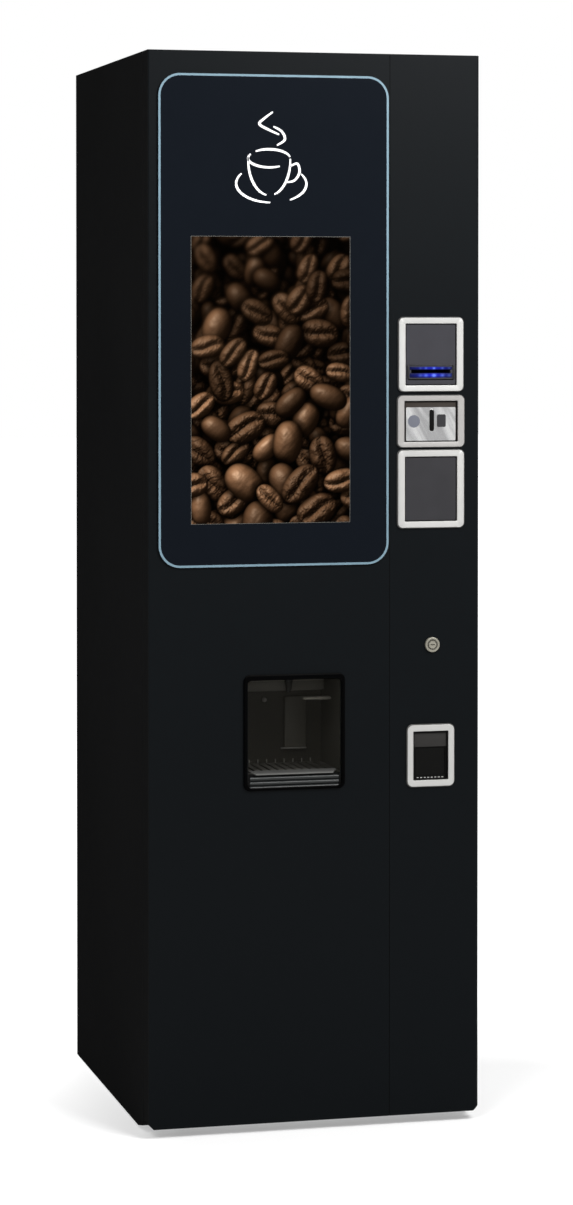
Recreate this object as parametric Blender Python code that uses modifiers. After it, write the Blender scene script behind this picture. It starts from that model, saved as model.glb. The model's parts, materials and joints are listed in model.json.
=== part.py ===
"""Free-standing hot coffee vending machine, built as separate sheet-metal, plastic and glass pieces.

Metres, +Z up. The origin is on the floor under the middle of the cabinet, and the door faces -Y.
"""

import math

import bmesh
import bpy
from mathutils import Matrix, Vector

OBJECT_NAME = "hot_coffee_vending_machine"

# Overall sizes
WIDTH = 0.580
DEPTH = 0.650
HEIGHT = 1.830

# Sheet, gaps and the skin of the cabinet
GAP = 0.0003  # between pieces that touch
SHEET = 0.0015
TRAY_SHEET = 0.002
SHELF_SHEET = 0.003
FOOT_HEIGHT = 0.006
FLANGE = 0.018
CHAMFER_LENGTH = 0.040  # the cut at the bottom front corner of the cabinet
CHAMFER_HEIGHT = 0.009
TRAY_LIP = 0.045
SHELF_LIP = 0.020
MID_SHELF_TOP = 0.802
UPPER_SHELF_TOP = 1.203
SHELF_FRONT_INSET = 0.215  # behind the cabinet's front edge
NOSE_FRONT_INSET = 0.014  # the middle shelf's nose, which carries the cup turret

# Door
DOOR_DEPTH = 0.038
DOOR_GAP = 0.006
DOOR_LIFT = 0.0108  # door bottom above the cabinet's bottom
PROUD = 0.005  # how far the bezels stand out of the door's face
SEAM = 0.0012
COLUMN_WIDTH = 0.1595
EDGE_RADIUS = 0.0055
CORNER_CUT = 0.009
RAIL = 0.020
MULLION = 0.022
FRAME_WALL = 0.002

# Hinge
KNUCKLE_RADIUS = 0.0022
KNUCKLE_BORE = 0.0011
PIN_RADIUS = 0.00085
LEAF_SHEET = 0.001
LEAF_WIDTH = 0.014
KNUCKLES = 15
HINGE_MARGIN = 0.040
KNUCKLE_GAP = 0.0006

# Fascia, display and cup window, across from the door's left edge and up from the floor
FASCIA_INSET = 0.0171
FASCIA_SEAM_INSET = 0.0020
FASCIA_BOTTOM = 0.9620
FASCIA_HEIGHT = 0.8295
FASCIA_RADIUS = 0.0375
FASCIA_THICKNESS = 0.0035
DISPLAY_CENTRE = 0.2113
DISPLAY_HEIGHT_CENTRE = 1.2769
DISPLAY_SIZE = (0.2755, 0.483)
DISPLAY_DEPTH = 0.036
CUP_CENTRE = 0.2526
CUP_FRAME_SIDE = 0.0057
CUP_FRAME_TOP = 0.0093
CUP_FRAME_FOOT = 0.0170
CUP_OPENING_SIZE = (0.1653, 0.1699)
CUP_OPENING_BOTTOM = 0.5992
FLAP_BOTTOM = 0.6185
FLAP_CLEARANCE = 0.0016
FLAP_THICKNESS = 0.004
FLAP_PIN_DROP = 0.0013  # from the top edge to the pin, so that the corner turns clear of the panel
SILL_INSET = 0.00525
SILL_HEIGHT = 0.0297
SILL_BOTTOM = 0.5865
SILL_DEPTH = 0.018
STATION_WALL = 0.002
STATION_DEPTH = 0.150
STATION_MARGIN = 0.006
STATION_TOP_CLEARANCE = 0.026
GRILLE_THICKNESS = 0.008
GRILLE_SLOTS = 11
GRILLE_SLOT = 0.005

# Payment column, about its own axis and up from the floor
COLUMN_AXIS_INSET = 0.0870
BEZEL_CORNER = 0.003
BILL_HEIGHT = 1.3190
BILL_BEZEL = (0.1173, 0.1281)
BILL_OPENING = (0.0878, 0.1026)
BILL_DEPTH = 0.105
BILL_SLOT = (0.070, 0.006)
BILL_SLOT_DROP = 0.029
BILL_SLOT_DEPTH = 0.080
COIN_HEIGHT = 1.2048
COIN_BEZEL = (0.1209, 0.0901)
COIN_OPENING = (0.0919, 0.0675)
COIN_PLATE = (0.0880, 0.0570)
COIN_PLATE_DROP = 0.0045
COIN_PLATE_THICKNESS = 0.002
COIN_SLOT = (0.0081, 0.0371)
COIN_SLOT_OFFSET = 0.0015
COIN_SLOT_DEPTH = 0.040
BUTTON = (0.0143, 0.0206)
BUTTON_OFFSET = 0.0188
BUTTON_TRAVEL = 0.004
BUTTON_DEPTH = 0.010
BUTTON_CLEARANCE = 0.0004
COIN_MECHANISM = (0.104, 0.180)
COIN_MECHANISM_DEPTH = 0.085
COIN_BOX = (0.096, 0.120)
COIN_BOX_BOTTOM = 0.905
COIN_BOX_DEPTH = 0.085
BLANK_HEIGHT = 1.0893
BLANK_BEZEL = (0.1201, 0.1349)
BLANK_OPENING = (0.0897, 0.1078)
RETURN_HEIGHT = 0.6326
RETURN_BEZEL = (0.0855, 0.1082)
RETURN_OPENING = (0.0596, 0.0807)
RETURN_CORNER = 0.008
RETURN_CUP_DEPTH = 0.062
RETURN_WALL = 0.0018
RETURN_FLAP = (0.0519, 0.0472)
RETURN_FLAP_BOTTOM = 0.5979
RETURN_FLAP_THICKNESS = 0.0025
LOCK_HEIGHT = 0.8225
LOCK_OFFSET = 0.003
LOCK_RADIUS = 0.013
LOCK_BARREL = 0.0095
LOCK_PLUG = 0.0065
CAM_REACH = 0.078
CAM_WIDTH = 0.016
CAM_SHEET = 0.003

# Works inside the cabinet
CUP_BORE = 0.033
TURRET_RADIUS = 0.099
TURRET_RING = 0.0622
TURRET_HEIGHT = 0.270
TURRET_TUBES = 5
TURRET_ANGLE = math.radians(-66)  # of the tube that stands over the drop hole
TURRET_SPINDLE = 0.008
DROP_BACK = 0.101  # the drop hole's centre behind the door's face
NOZZLE_PIVOT = (0.058, 0.062)  # from the drop hole's centre
NOZZLE_SWING = math.radians(45)
NOZZLE_HEAD = 0.012
NOZZLE_ARM_HEIGHT = 0.016
NOZZLE_BORE = 0.0025
NOZZLE_STUD = 0.004
BREWER = (0.140, 0.180, 0.318)
BREWER_INSET = 0.034
BREWER_BACK = 0.125  # from the cabinet's back
CHAMBER_RADIUS = 0.0265
CHAMBER_DEPTH = 0.080
CHAMBER_BLOCK = 0.148
PISTON_ROD = 0.012
BRIDGE = 0.040
GRINDER_RADIUS = 0.062
GRINDER_HEIGHT = 0.140
GRINDER_SPOUT = 0.015
SPOUT_LENGTH = 0.040
HOPPER_RADIUS = 0.092
HOPPER_NECK = 0.034
HOPPER_HEIGHT = 0.230
HOPPER_WALL = 0.0025
LID_THICKNESS = 0.006
CANISTER = (0.108, 0.290, 0.270)
CANISTER_WALL = 0.002
CANISTER_PITCH = 0.124
CANISTERS = 2
CANISTER_RIGHT = 0.052  # from the cabinet's right side to the last canister
SPOUT = (0.044, 0.040, 0.048)
AUGER_RADIUS = 0.0155
AUGER_TURNS = 4
AUGER_HEIGHT = 0.024
AUGER_SHAFT = 0.005
BOWL = (0.080, 0.084, 0.092)
BOWL_DROP = 0.016
BOWL_CONE = 0.034
WHIPPER_RADIUS = 0.014
WHIPPER_SHAFT = 0.003
BOILER_RADIUS = 0.074
BOILER_HEIGHT = 0.290
BOILER_PLACE = (0.110, 0.135)  # from the right side and from the back
PUMP_RADIUS = 0.029
PUMP_LENGTH = 0.115
BUCKET = (0.300, 0.330, 0.380)
BUCKET_WALL = 0.003
CONTROL_BOX = (0.220, 0.070, 0.260)
CONTROL_BOX_BOTTOM = 0.440
FAN_SIZE = 0.120
FAN_DEPTH = 0.025
FAN_HEIGHT = 1.690
FAN_BORE = 0.056
FAN_BLADES = 7
INLET = (0.048, 0.028)
INLET_PLACE = (0.120, 0.120)  # from the middle and up from the floor
WATER_PLACE = (-0.180, 0.120)
WATER_THREAD = 0.0130
VENT_SLOTS = 9
VENT_SLOT = (0.100, 0.004)
VENT_PITCH = 0.010

# Places worked out from the sizes above
LEFT = -WIDTH / 2
RIGHT = WIDTH / 2
BACK = DEPTH / 2
FACE = -DEPTH / 2 + PROUD
DOOR_BACK = FACE + DOOR_DEPTH
CABINET_FRONT = DOOR_BACK + DOOR_GAP
INNER_FRONT = CABINET_FRONT + SHEET + GAP
INNER_BACK = BACK - SHEET - GAP
INNER_SIDE = WIDTH / 2 - SHEET - GAP
DOOR_BOTTOM = FOOT_HEIGHT + DOOR_LIFT
PANEL_BACK = FACE + SHEET
FRAME_FRONT = PANEL_BACK + GAP
SEAM_X = RIGHT - COLUMN_WIDTH
COLUMN_AXIS = RIGHT - COLUMN_AXIS_INSET
CUP_AXIS = LEFT + CUP_CENTRE
TRAY_TOP = FOOT_HEIGHT + TRAY_SHEET
HINGE_X = LEFT + KNUCKLE_RADIUS
HINGE_Y = DOOR_BACK + DOOR_GAP / 2
MULLION_X = SEAM_X + SEAM / 2
DROP_Y = FACE + DROP_BACK
TURRET_X = CUP_AXIS - TURRET_RING * math.cos(TURRET_ANGLE)
TURRET_Y = DROP_Y - TURRET_RING * math.sin(TURRET_ANGLE)
BREWER_X = LEFT + SHEET + BREWER_INSET + BREWER[0] / 2
BREWER_Y = BACK - BREWER_BACK - BREWER[1] / 2
CHAMBER_Y = BREWER_Y - 0.035
GRINDER_Y = BREWER_Y + 0.020
HOPPER_BOTTOM = UPPER_SHELF_TOP + GAP + GRINDER_HEIGHT + GAP
HOPPER_TOP = HOPPER_BOTTOM + HOPPER_HEIGHT
SHELF_FRONT = CABINET_FRONT + SHELF_FRONT_INSET
BOILER_X = RIGHT - BOILER_PLACE[0]
BOILER_Y = BACK - BOILER_PLACE[1]


def collection(name):
    """A collection of that name under the scene."""
    made = bpy.data.collections.new(name)
    bpy.context.scene.collection.children.link(made)
    return made


def material(name, colour, roughness, metallic=0.0):
    """A Principled material, made once for each name."""
    found = bpy.data.materials.get(name)
    if found:
        return found
    made = bpy.data.materials.new(name)
    made.use_nodes = True
    shader = made.node_tree.nodes["Principled BSDF"]
    shader.inputs["Base Color"].default_value = (*colour, 1.0)
    shader.inputs["Roughness"].default_value = roughness
    shader.inputs["Metallic"].default_value = metallic
    made.diffuse_color = (*colour, 1.0)
    return made


FINISHES = {
    "black_paint": ((0.009, 0.010, 0.011), 0.42, 0.0),
    "navy_glass": ((0.009, 0.009, 0.015), 0.10, 0.0),
    "screen": ((0.020, 0.016, 0.014), 0.20, 0.0),
    "smoked_plastic": ((0.015, 0.014, 0.013), 0.12, 0.0),
    "dark_plastic": ((0.012, 0.012, 0.012), 0.45, 0.0),
    "grey_plate": ((0.066, 0.066, 0.072), 0.40, 0.0),
    "silver_plastic": ((0.59, 0.59, 0.57), 0.35, 0.0),
    "steel": ((0.62, 0.62, 0.60), 0.25, 1.0),
    "zinc_sheet": ((0.45, 0.46, 0.47), 0.40, 1.0),
    "brass": ((0.72, 0.53, 0.25), 0.30, 1.0),
    "clear_plastic": ((0.55, 0.57, 0.60), 0.15, 0.0),
    "white_plastic": ((0.70, 0.70, 0.68), 0.40, 0.0),
    "grey_plastic": ((0.20, 0.20, 0.21), 0.45, 0.0),
    "rubber": ((0.02, 0.02, 0.02), 0.80, 0.0),
}


def finish(piece, name):
    """Gives the piece its material and smooth shading with sharp edges kept."""
    piece.data.materials.clear()
    piece.data.materials.append(material(name, *FINISHES[name]))
    piece.data.shade_smooth()
    piece.data.set_sharp_from_angle(angle=math.radians(35))
    return piece


def add_mesh(name, shape, group):
    """A bmesh made an object in the named collection."""
    mesh = bpy.data.meshes.new(name)
    shape.to_mesh(mesh)
    shape.free()
    made = bpy.data.objects.new(name, mesh)
    bpy.data.collections[group].objects.link(made)
    if group == "cutters":
        made.hide_render = True
        made.display_type = "WIRE"
    return made


def box(name, low, high, group=OBJECT_NAME):
    """A box between two corners, with its origin at its centre."""
    low, high = Vector(low), Vector(high)
    shape = bmesh.new()
    bmesh.ops.create_cube(shape, size=1.0)
    bmesh.ops.scale(shape, vec=high - low, verts=shape.verts)
    made = add_mesh(name, shape, group)
    made.location = (low + high) / 2
    return made


AXIS_TURNS = {
    "X": Matrix(((0, 0, 1), (1, 0, 0), (0, 1, 0))),
    "Y": Matrix(((1, 0, 0), (0, 0, -1), (0, 1, 0))),
    "Z": Matrix.Identity(3),
}
AXIS_SIGN = {"X": 1, "Y": -1, "Z": 1}


def plate(name, outlines, start, end, axis="Y", group=OBJECT_NAME):
    """Flat outlines, holes among them, given a thickness from start to end along an axis.

    An outline's points are (y, z) for X, (x, z) for Y and (x, y) for Z.
    """
    curve = bpy.data.curves.new(name, "CURVE")
    curve.dimensions = "2D"
    curve.fill_mode = "BOTH"
    curve.extrude = abs(end - start) / 2
    for outline in outlines:
        spline = curve.splines.new("POLY")
        spline.points.add(len(outline) - 1)
        for point, place in zip(spline.points, outline):
            point.co = (*place, 0.0, 1.0)
        spline.use_cyclic_u = True
    guide = bpy.data.objects.new(name, curve)
    bpy.context.scene.collection.objects.link(guide)
    bpy.context.view_layer.update()
    mesh = bpy.data.meshes.new_from_object(guide.evaluated_get(bpy.context.evaluated_depsgraph_get()))
    bpy.data.objects.remove(guide)
    bpy.data.curves.remove(curve)
    shape = bmesh.new()
    shape.from_mesh(mesh)
    bpy.data.meshes.remove(mesh)
    bmesh.ops.remove_doubles(shape, verts=shape.verts, dist=1e-6)
    bmesh.ops.recalc_face_normals(shape, faces=shape.faces)
    made = add_mesh(name, shape, group)
    turn = AXIS_TURNS[axis].to_4x4()
    middle = Vector((0, 0, AXIS_SIGN[axis] * (start + end) / 2))
    made.matrix_world = turn @ Matrix.Translation(middle)
    return made


def turned(name, profile, centre, axis="Z", steps=24, group=OBJECT_NAME):
    """A profile of (radius, height) points, top to bottom down its outer side, turned about an axis."""
    mesh = bpy.data.meshes.new(name)
    closed = profile[0] == profile[-1]
    points = profile[:-1] if closed else profile
    edges = [(i, i + 1) for i in range(len(points) - 1)]
    if closed:
        edges.append((len(points) - 1, 0))
    mesh.from_pydata([(radius, 0.0, height) for radius, height in points], edges, [])
    made = bpy.data.objects.new(name, mesh)
    bpy.data.collections[group].objects.link(made)
    if group == "cutters":
        made.hide_render = True
        made.display_type = "WIRE"
    screw = made.modifiers.new("Turn", "SCREW")
    screw.steps = steps
    screw.render_steps = steps
    screw.use_merge_vertices = True
    screw.merge_threshold = 1e-5
    turn = AXIS_TURNS[axis].to_4x4()
    made.matrix_world = Matrix.Translation(centre) @ turn
    return made


def cylinder(name, centre, radius, start, end, axis="Z", steps=24, group=OBJECT_NAME):
    """A plain round bar from start to end along an axis through the centre's other two coordinates."""
    outline = circle(*centre, radius, steps)
    return plate(name, [outline], start, end, axis, group)


def combine(piece, tools, operation, solver="EXACT"):
    """Boolean modifiers of one kind, one for each tool, which moves to the cutters.

    Outlines whose holes line up fill with faces of no area, which only the MANIFOLD solver takes.
    """
    for number, tool in enumerate(tools):
        if tool.name not in bpy.data.collections["cutters"].objects:
            bpy.data.collections[OBJECT_NAME].objects.unlink(tool)
            bpy.data.collections["cutters"].objects.link(tool)
            tool.hide_render = True
            tool.display_type = "WIRE"
        change = piece.modifiers.new(f"{operation.title()} {number + 1}", "BOOLEAN")
        change.operation = operation
        change.solver = solver
        change.object = tool
    return piece


def cut(piece, *tools, solver="EXACT"):
    """Takes the tools out of the piece."""
    return combine(piece, tools, "DIFFERENCE", solver)


def join(piece, *tools, solver="EXACT"):
    """Adds the tools to the piece as one body."""
    return combine(piece, tools, "UNION", solver)


def rectangle(centre, size):
    """The corners of an upright rectangle."""
    (x, z), (width, height) = centre, size
    return [
        (x - width / 2, z - height / 2),
        (x + width / 2, z - height / 2),
        (x + width / 2, z + height / 2),
        (x - width / 2, z + height / 2),
    ]


def spanned(low, high):
    """The rectangle between two corners."""
    return rectangle(((low[0] + high[0]) / 2, (low[1] + high[1]) / 2), (high[0] - low[0], high[1] - low[1]))


def rounded(centre, size, radius, steps=4):
    """A rectangle with round corners."""
    (x, z), (width, height) = centre, size
    points = []
    for corner in range(4):
        across = (1, -1, -1, 1)[corner] * (width / 2 - radius)
        up = (1, 1, -1, -1)[corner] * (height / 2 - radius)
        for step in range(steps + 1):
            angle = math.pi / 2 * (corner + step / steps)
            points.append((x + across + radius * math.cos(angle), z + up + radius * math.sin(angle)))
    return points


def circle(x, y, radius, steps=24):
    """The points of a circle."""
    return [
        (x + radius * math.cos(2 * math.pi * step / steps), y + radius * math.sin(2 * math.pi * step / steps))
        for step in range(steps)
    ]


def grown(size, by):
    """A size with the same amount added to both its sides."""
    return (size[0] + 2 * by, size[1] + 2 * by)


def axle(name, place):
    """An empty on a joint's axis, for its moving pieces to hang from."""
    made = bpy.data.objects.new(name, None)
    made.empty_display_size = 0.03
    made.location = place
    bpy.data.collections[OBJECT_NAME].objects.link(made)
    return made


def hang(parent, *pieces):
    """Parents pieces to an empty and leaves them where they are."""
    for piece in pieces:
        piece.parent = parent
        piece.matrix_parent_inverse = Matrix.Translation(parent.location).inverted()


def corner_wedge(name):
    """The prism that cuts the cabinet's bottom front corner."""
    margin = 0.002
    slope = CHAMFER_HEIGHT / CHAMFER_LENGTH
    outline = [
        (CABINET_FRONT - margin, FOOT_HEIGHT - margin),
        (CABINET_FRONT + CHAMFER_LENGTH + margin / slope, FOOT_HEIGHT - margin),
        (CABINET_FRONT - margin, FOOT_HEIGHT + CHAMFER_HEIGHT + margin * slope),
    ]
    return plate(name, [outline], LEFT - margin, RIGHT + margin, "X", "cutters")


def side_panels():
    """The two folded side sheets, each with a flange along the door opening."""
    for name, side in (("left_side_panel", -1), ("right_side_panel", 1)):
        outer = side * WIDTH / 2
        inner = outer - side * SHEET
        lip = outer - side * FLANGE
        outline = [
            (outer, CABINET_FRONT),
            (lip, CABINET_FRONT),
            (lip, CABINET_FRONT + SHEET),
            (inner, CABINET_FRONT + SHEET),
            (inner, BACK),
            (outer, BACK),
        ]
        panel = plate(name, [outline], FOOT_HEIGHT, HEIGHT, "Z")
        finish(cut(panel, corner_wedge(f"{name}_corner")), "black_paint")


def foot_places():
    """The four feet's centres."""
    inset = 0.045
    return [
        (x, y)
        for x in (LEFT + inset, RIGHT - inset)
        for y in (CABINET_FRONT + CHAMFER_LENGTH + inset, BACK - inset)
    ]


def base_tray():
    """The folded tray under the works, lipped at the front and back, with a hole for each foot's stem."""
    stem_hole = 0.0056
    slope = CHAMFER_HEIGHT / CHAMFER_LENGTH
    front_bottom = FOOT_HEIGHT + slope * (CABINET_FRONT + CHAMFER_LENGTH - INNER_FRONT)
    lip_top = FOOT_HEIGHT + TRAY_LIP
    outline = [
        (INNER_FRONT, front_bottom),
        (CABINET_FRONT + CHAMFER_LENGTH, FOOT_HEIGHT),
        (INNER_BACK, FOOT_HEIGHT),
        (INNER_BACK, lip_top),
        (INNER_BACK - TRAY_SHEET, lip_top),
        (INNER_BACK - TRAY_SHEET, TRAY_TOP),
        (CABINET_FRONT + CHAMFER_LENGTH, TRAY_TOP),
        (INNER_FRONT + TRAY_SHEET, front_bottom + TRAY_SHEET),
        (INNER_FRONT + TRAY_SHEET, lip_top),
        (INNER_FRONT, lip_top),
    ]
    tray = plate("base_tray", [outline], -INNER_SIDE, INNER_SIDE, "X")
    holes = [circle(x, y, stem_hole, 12) for x, y in foot_places()]
    margin = 0.01
    cutter = plate("foot_holes", holes, FOOT_HEIGHT - margin, TRAY_TOP + margin, "Z", "cutters")
    finish(cut(tray, cutter), "zinc_sheet")


def feet():
    """Four levelling feet: a disc on the floor and a stem up through the tray."""
    disc, stem, rise = 0.018, 0.0050, 0.026
    top = FOOT_HEIGHT - GAP
    profile = [(0, rise), (stem, rise), (stem, top), (disc, top), (disc, 0), (0, 0)]
    for number, (x, y) in enumerate(foot_places()):
        foot = turned(f"levelling_foot_{number + 1}", profile, (x, y, 0), steps=16)
        finish(foot, "rubber")


def top_panel():
    """The top sheet with its side flanges and the header over the door opening."""
    flange = 0.020
    under = HEIGHT - SHEET
    outline = [
        (-INNER_SIDE, HEIGHT),
        (-INNER_SIDE, HEIGHT - flange),
        (-INNER_SIDE + SHEET, HEIGHT - flange),
        (-INNER_SIDE + SHEET, under),
        (INNER_SIDE - SHEET, under),
        (INNER_SIDE - SHEET, HEIGHT - flange),
        (INNER_SIDE, HEIGHT - flange),
        (INNER_SIDE, HEIGHT),
    ]
    panel = plate("top_panel", [outline], INNER_FRONT, INNER_BACK, "Y")
    half = WIDTH / 2 - FLANGE - GAP
    header = box(
        "top_header",
        (-half, CABINET_FRONT, HEIGHT - flange),
        (half, INNER_FRONT + SHEET, HEIGHT),
    )
    finish(join(panel, header), "black_paint")


def vent_slots(x, z):
    """The outlines of one block of vent slots."""
    slots = []
    for number in range(VENT_SLOTS):
        height = z + (number - (VENT_SLOTS - 1) / 2) * VENT_PITCH
        half, point = VENT_SLOT[0] / 2, VENT_SLOT[1] / 2
        ends = [(half - point, -point), (half, 0), (half - point, point)]
        outline = ends + [(-across, -up) for across, up in ends]
        slots.append([(x + across, height + up) for across, up in outline])
    return slots


def rear_panel():
    """The back sheet with its vents and the holes for the mains and water inlets."""
    outline = spanned((-INNER_SIDE, FOOT_HEIGHT), (INNER_SIDE, HEIGHT))
    low_vent = 0.300
    holes = vent_slots(0, FAN_HEIGHT) + vent_slots(0, low_vent)
    holes.append(rectangle(INLET_PLACE, grown(INLET, GAP)))
    holes.append(circle(*WATER_PLACE, WATER_THREAD + 2 * GAP, 20))
    finish(plate("rear_panel", [outline, *holes], BACK - SHEET, BACK), "black_paint")


def shelf(name, top, outlines):
    """A shelf sheet with the fixing flanges at its ends."""
    bottom = top - SHELF_SHEET
    sheet = plate(name, outlines, bottom, top, "Z")
    flanges = []
    for side in (-1, 1):
        low, high = sorted((side * INNER_SIDE, side * (INNER_SIDE - TRAY_SHEET)))
        flanges.append(
            box(
                f"{name}_flange_{'left' if side < 0 else 'right'}",
                (low, SHELF_FRONT, bottom - SHELF_LIP),
                (high, INNER_BACK, bottom + SHELF_SHEET / 2),
            )
        )
    return join(sheet, *flanges, solver="MANIFOLD")


def mid_shelf():
    """The shelf over the cup station, with a nose that carries the cup turret and the nozzle arm."""
    side = 0.008
    nose_left = TURRET_X - TURRET_RADIUS - side
    nose_right = CUP_AXIS + NOZZLE_PIVOT[0] + 0.026
    nose_front = CABINET_FRONT + NOSE_FRONT_INSET
    outline = [
        (-INNER_SIDE, INNER_BACK),
        (-INNER_SIDE, SHELF_FRONT),
        (nose_left, SHELF_FRONT),
        (nose_left, nose_front),
        (nose_right, nose_front),
        (nose_right, SHELF_FRONT),
        (INNER_SIDE, SHELF_FRONT),
        (INNER_SIDE, INNER_BACK),
    ]
    drop_hole = circle(CUP_AXIS, DROP_Y, CUP_BORE + 0.002)
    sheet = shelf("mid_shelf", MID_SHELF_TOP, [outline, drop_hole])
    spindle_height, overlap = 0.060, 0.001
    spindle = cylinder(
        "turret_spindle",
        (TURRET_X, TURRET_Y),
        TURRET_SPINDLE,
        MID_SHELF_TOP - overlap,
        MID_SHELF_TOP + spindle_height,
        steps=16,
    )
    under = MID_SHELF_TOP - SHELF_SHEET
    pivot = nozzle_pivot()
    stud = cylinder("nozzle_stud", pivot, NOZZLE_STUD, under - 0.022, under + overlap, steps=12)
    finish(join(sheet, spindle, stud, solver="MANIFOLD"), "zinc_sheet")


def upper_shelf():
    """The shelf under the grinder and the canisters."""
    outline = spanned((-INNER_SIDE, SHELF_FRONT), (INNER_SIDE, INNER_BACK))
    spout_hole = circle(BREWER_X, GRINDER_Y, GRINDER_SPOUT + 0.0015)
    finish(shelf("upper_shelf", UPPER_SHELF_TOP, [outline, spout_hole]), "zinc_sheet")


def hinge_span(number):
    """The bottom and top of one knuckle of the piano hinge."""
    bottom = DOOR_BOTTOM + HINGE_MARGIN
    pitch = (HEIGHT - HINGE_MARGIN - bottom) / KNUCKLES
    return bottom + number * pitch + KNUCKLE_GAP / 2, bottom + (number + 1) * pitch - KNUCKLE_GAP / 2


def hinge_leaf(name, side, first):
    """One leaf of the piano hinge and every second knuckle.

    side is -1 for the leaf on the door and 1 for the leaf on the cabinet.
    """
    outer = DOOR_GAP / 2 - GAP
    inner = outer - LEAF_SHEET
    start = -math.asin(inner / KNUCKLE_RADIUS)
    sweep, steps = math.radians(275), 9
    tab = 0.0042
    knuckle = [(tab, -inner)]
    for step in range(steps + 1):
        angle = start + sweep * step / steps
        knuckle.append((KNUCKLE_RADIUS * math.cos(angle), KNUCKLE_RADIUS * math.sin(angle)))
    knuckle += [(-KNUCKLE_RADIUS / 4, -outer), (tab, -outer)]
    bore = circle(0, 0, KNUCKLE_BORE, 8)
    placed = [[(HINGE_X + x, HINGE_Y - side * y) for x, y in line] for line in (knuckle, bore)]
    knuckles = [
        plate(f"{name}_knuckle_{number + 1}", placed, *hinge_span(number), "Z")
        for number in range(first, KNUCKLES, 2)
    ]
    leaf_left = HINGE_X + tab - 0.0006
    low, high = sorted((HINGE_Y + side * inner, HINGE_Y + side * outer))
    leaf = box(
        name,
        (leaf_left, low, hinge_span(0)[0]),
        (leaf_left + LEAF_WIDTH, high, hinge_span(KNUCKLES - 1)[1]),
    )
    return finish(join(leaf, *knuckles), "steel")


def hinge():
    """The piano hinge on the left: a leaf on the cabinet, a leaf on the door, and the pin."""
    hinge_leaf("cabinet_hinge_leaf", 1, 0)
    bottom, top = hinge_span(0)[0], hinge_span(KNUCKLES - 1)[1]
    finish(cylinder("hinge_pin", (HINGE_X, HINGE_Y), PIN_RADIUS, bottom, top, steps=8), "steel")
    return hinge_leaf("door_hinge_leaf", -1, 1)


def rear_fittings():
    """The mains inlet, the water inlet valve and the fan's frame on the back."""
    flange, flange_depth, body_depth = 0.006, 0.004, 0.030
    inside = BACK - SHEET - GAP
    rim = rectangle(INLET_PLACE, grown(INLET, flange))
    inlet = plate("mains_inlet", [rim], inside - flange_depth, inside)
    body = plate("inlet_body", [rectangle(INLET_PLACE, INLET)], BACK - body_depth, BACK)
    recess = rectangle(INLET_PLACE, grown(INLET, -0.0035))
    x, z = INLET_PLACE
    places = ((-0.007, -0.003), (0, 0.004), (0.007, -0.003))
    pins = [rectangle((x + across, z + up), (0.002, 0.006)) for across, up in places]
    socket_depth = 0.016
    socket = plate("inlet_socket", [recess, *pins], BACK - socket_depth, BACK + flange_depth, "Y", "cutters")
    finish(cut(join(inlet, body), socket, solver="MANIFOLD"), "dark_plastic")
    thread_end, nut_depth = BACK - 0.0005, 0.009
    nut, tube, length = WATER_THREAD + 0.006, 0.009, 0.055
    bore, bore_depth = 0.007, 0.018
    nut_front = thread_end - inside
    profile = [
        (0, length),
        (tube, length),
        (tube, nut_front + nut_depth),
        (nut, nut_front + nut_depth),
        (nut, nut_front),
        (WATER_THREAD, nut_front),
        (WATER_THREAD, 0),
        (bore, 0),
        (bore, bore_depth),
        (0, bore_depth),
    ]
    centre = (WATER_PLACE[0], thread_end, WATER_PLACE[1])
    finish(turned("water_inlet_valve", profile, centre, "Y", 20), "brass")
    fan(inside)


def fan(inside):
    """The fan's square frame with its spider, and the rotor on the spider's hub."""
    centre = (0, FAN_HEIGHT)
    hub, hub_wall, spider, arm = 0.016, 0.003, 0.003, 0.005
    frame = plate(
        "fan_frame",
        [rounded(centre, (FAN_SIZE, FAN_SIZE), 0.006, 2), circle(*centre, FAN_BORE, 32)],
        inside - FAN_DEPTH,
        inside,
    )
    reach = FAN_BORE + 0.001
    bars = [
        box("spider_upright", (-arm / 2, inside - spider, FAN_HEIGHT - reach), (arm / 2, inside, FAN_HEIGHT + reach)),
        box("spider_cross", (-reach, inside - spider, FAN_HEIGHT - arm / 2), (reach, inside, FAN_HEIGHT + arm / 2)),
        cylinder("spider_hub", centre, hub, inside - spider, inside, "Y", 16),
        cylinder("fan_stud", centre, hub_wall, inside - FAN_DEPTH + spider, inside - spider / 2, "Y", 12),
    ]
    finish(join(frame, *bars), "dark_plastic")
    blade_tip, blade_depth, root, clear = FAN_BORE - 0.003, 0.012, 0.019, 0.0005
    corners = ((root, 0.02), (blade_tip, 0.12), (blade_tip, 0.40), (blade_tip, 0.68), (root, 0.60))
    outline = []
    for blade in range(FAN_BLADES):
        turn = 2 * math.pi * blade / FAN_BLADES
        width = 2 * math.pi / FAN_BLADES
        for radius, share in corners:
            angle = turn + width * share
            outline.append((radius * math.cos(angle), FAN_HEIGHT + radius * math.sin(angle)))
    middle = inside - FAN_DEPTH / 2 - spider / 2
    rotor = plate(
        "fan_rotor",
        [outline, circle(*centre, hub_wall + clear, 12)],
        middle - blade_depth / 2,
        middle + blade_depth / 2,
    )
    pivot = axle("fan_axis", (0, middle, FAN_HEIGHT))
    hang(pivot, finish(rotor, "dark_plastic"))


def nozzle_pivot():
    """The pin that the nozzle arm swings on."""
    return CUP_AXIS + NOZZLE_PIVOT[0], DROP_Y + NOZZLE_PIVOT[1]


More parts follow.
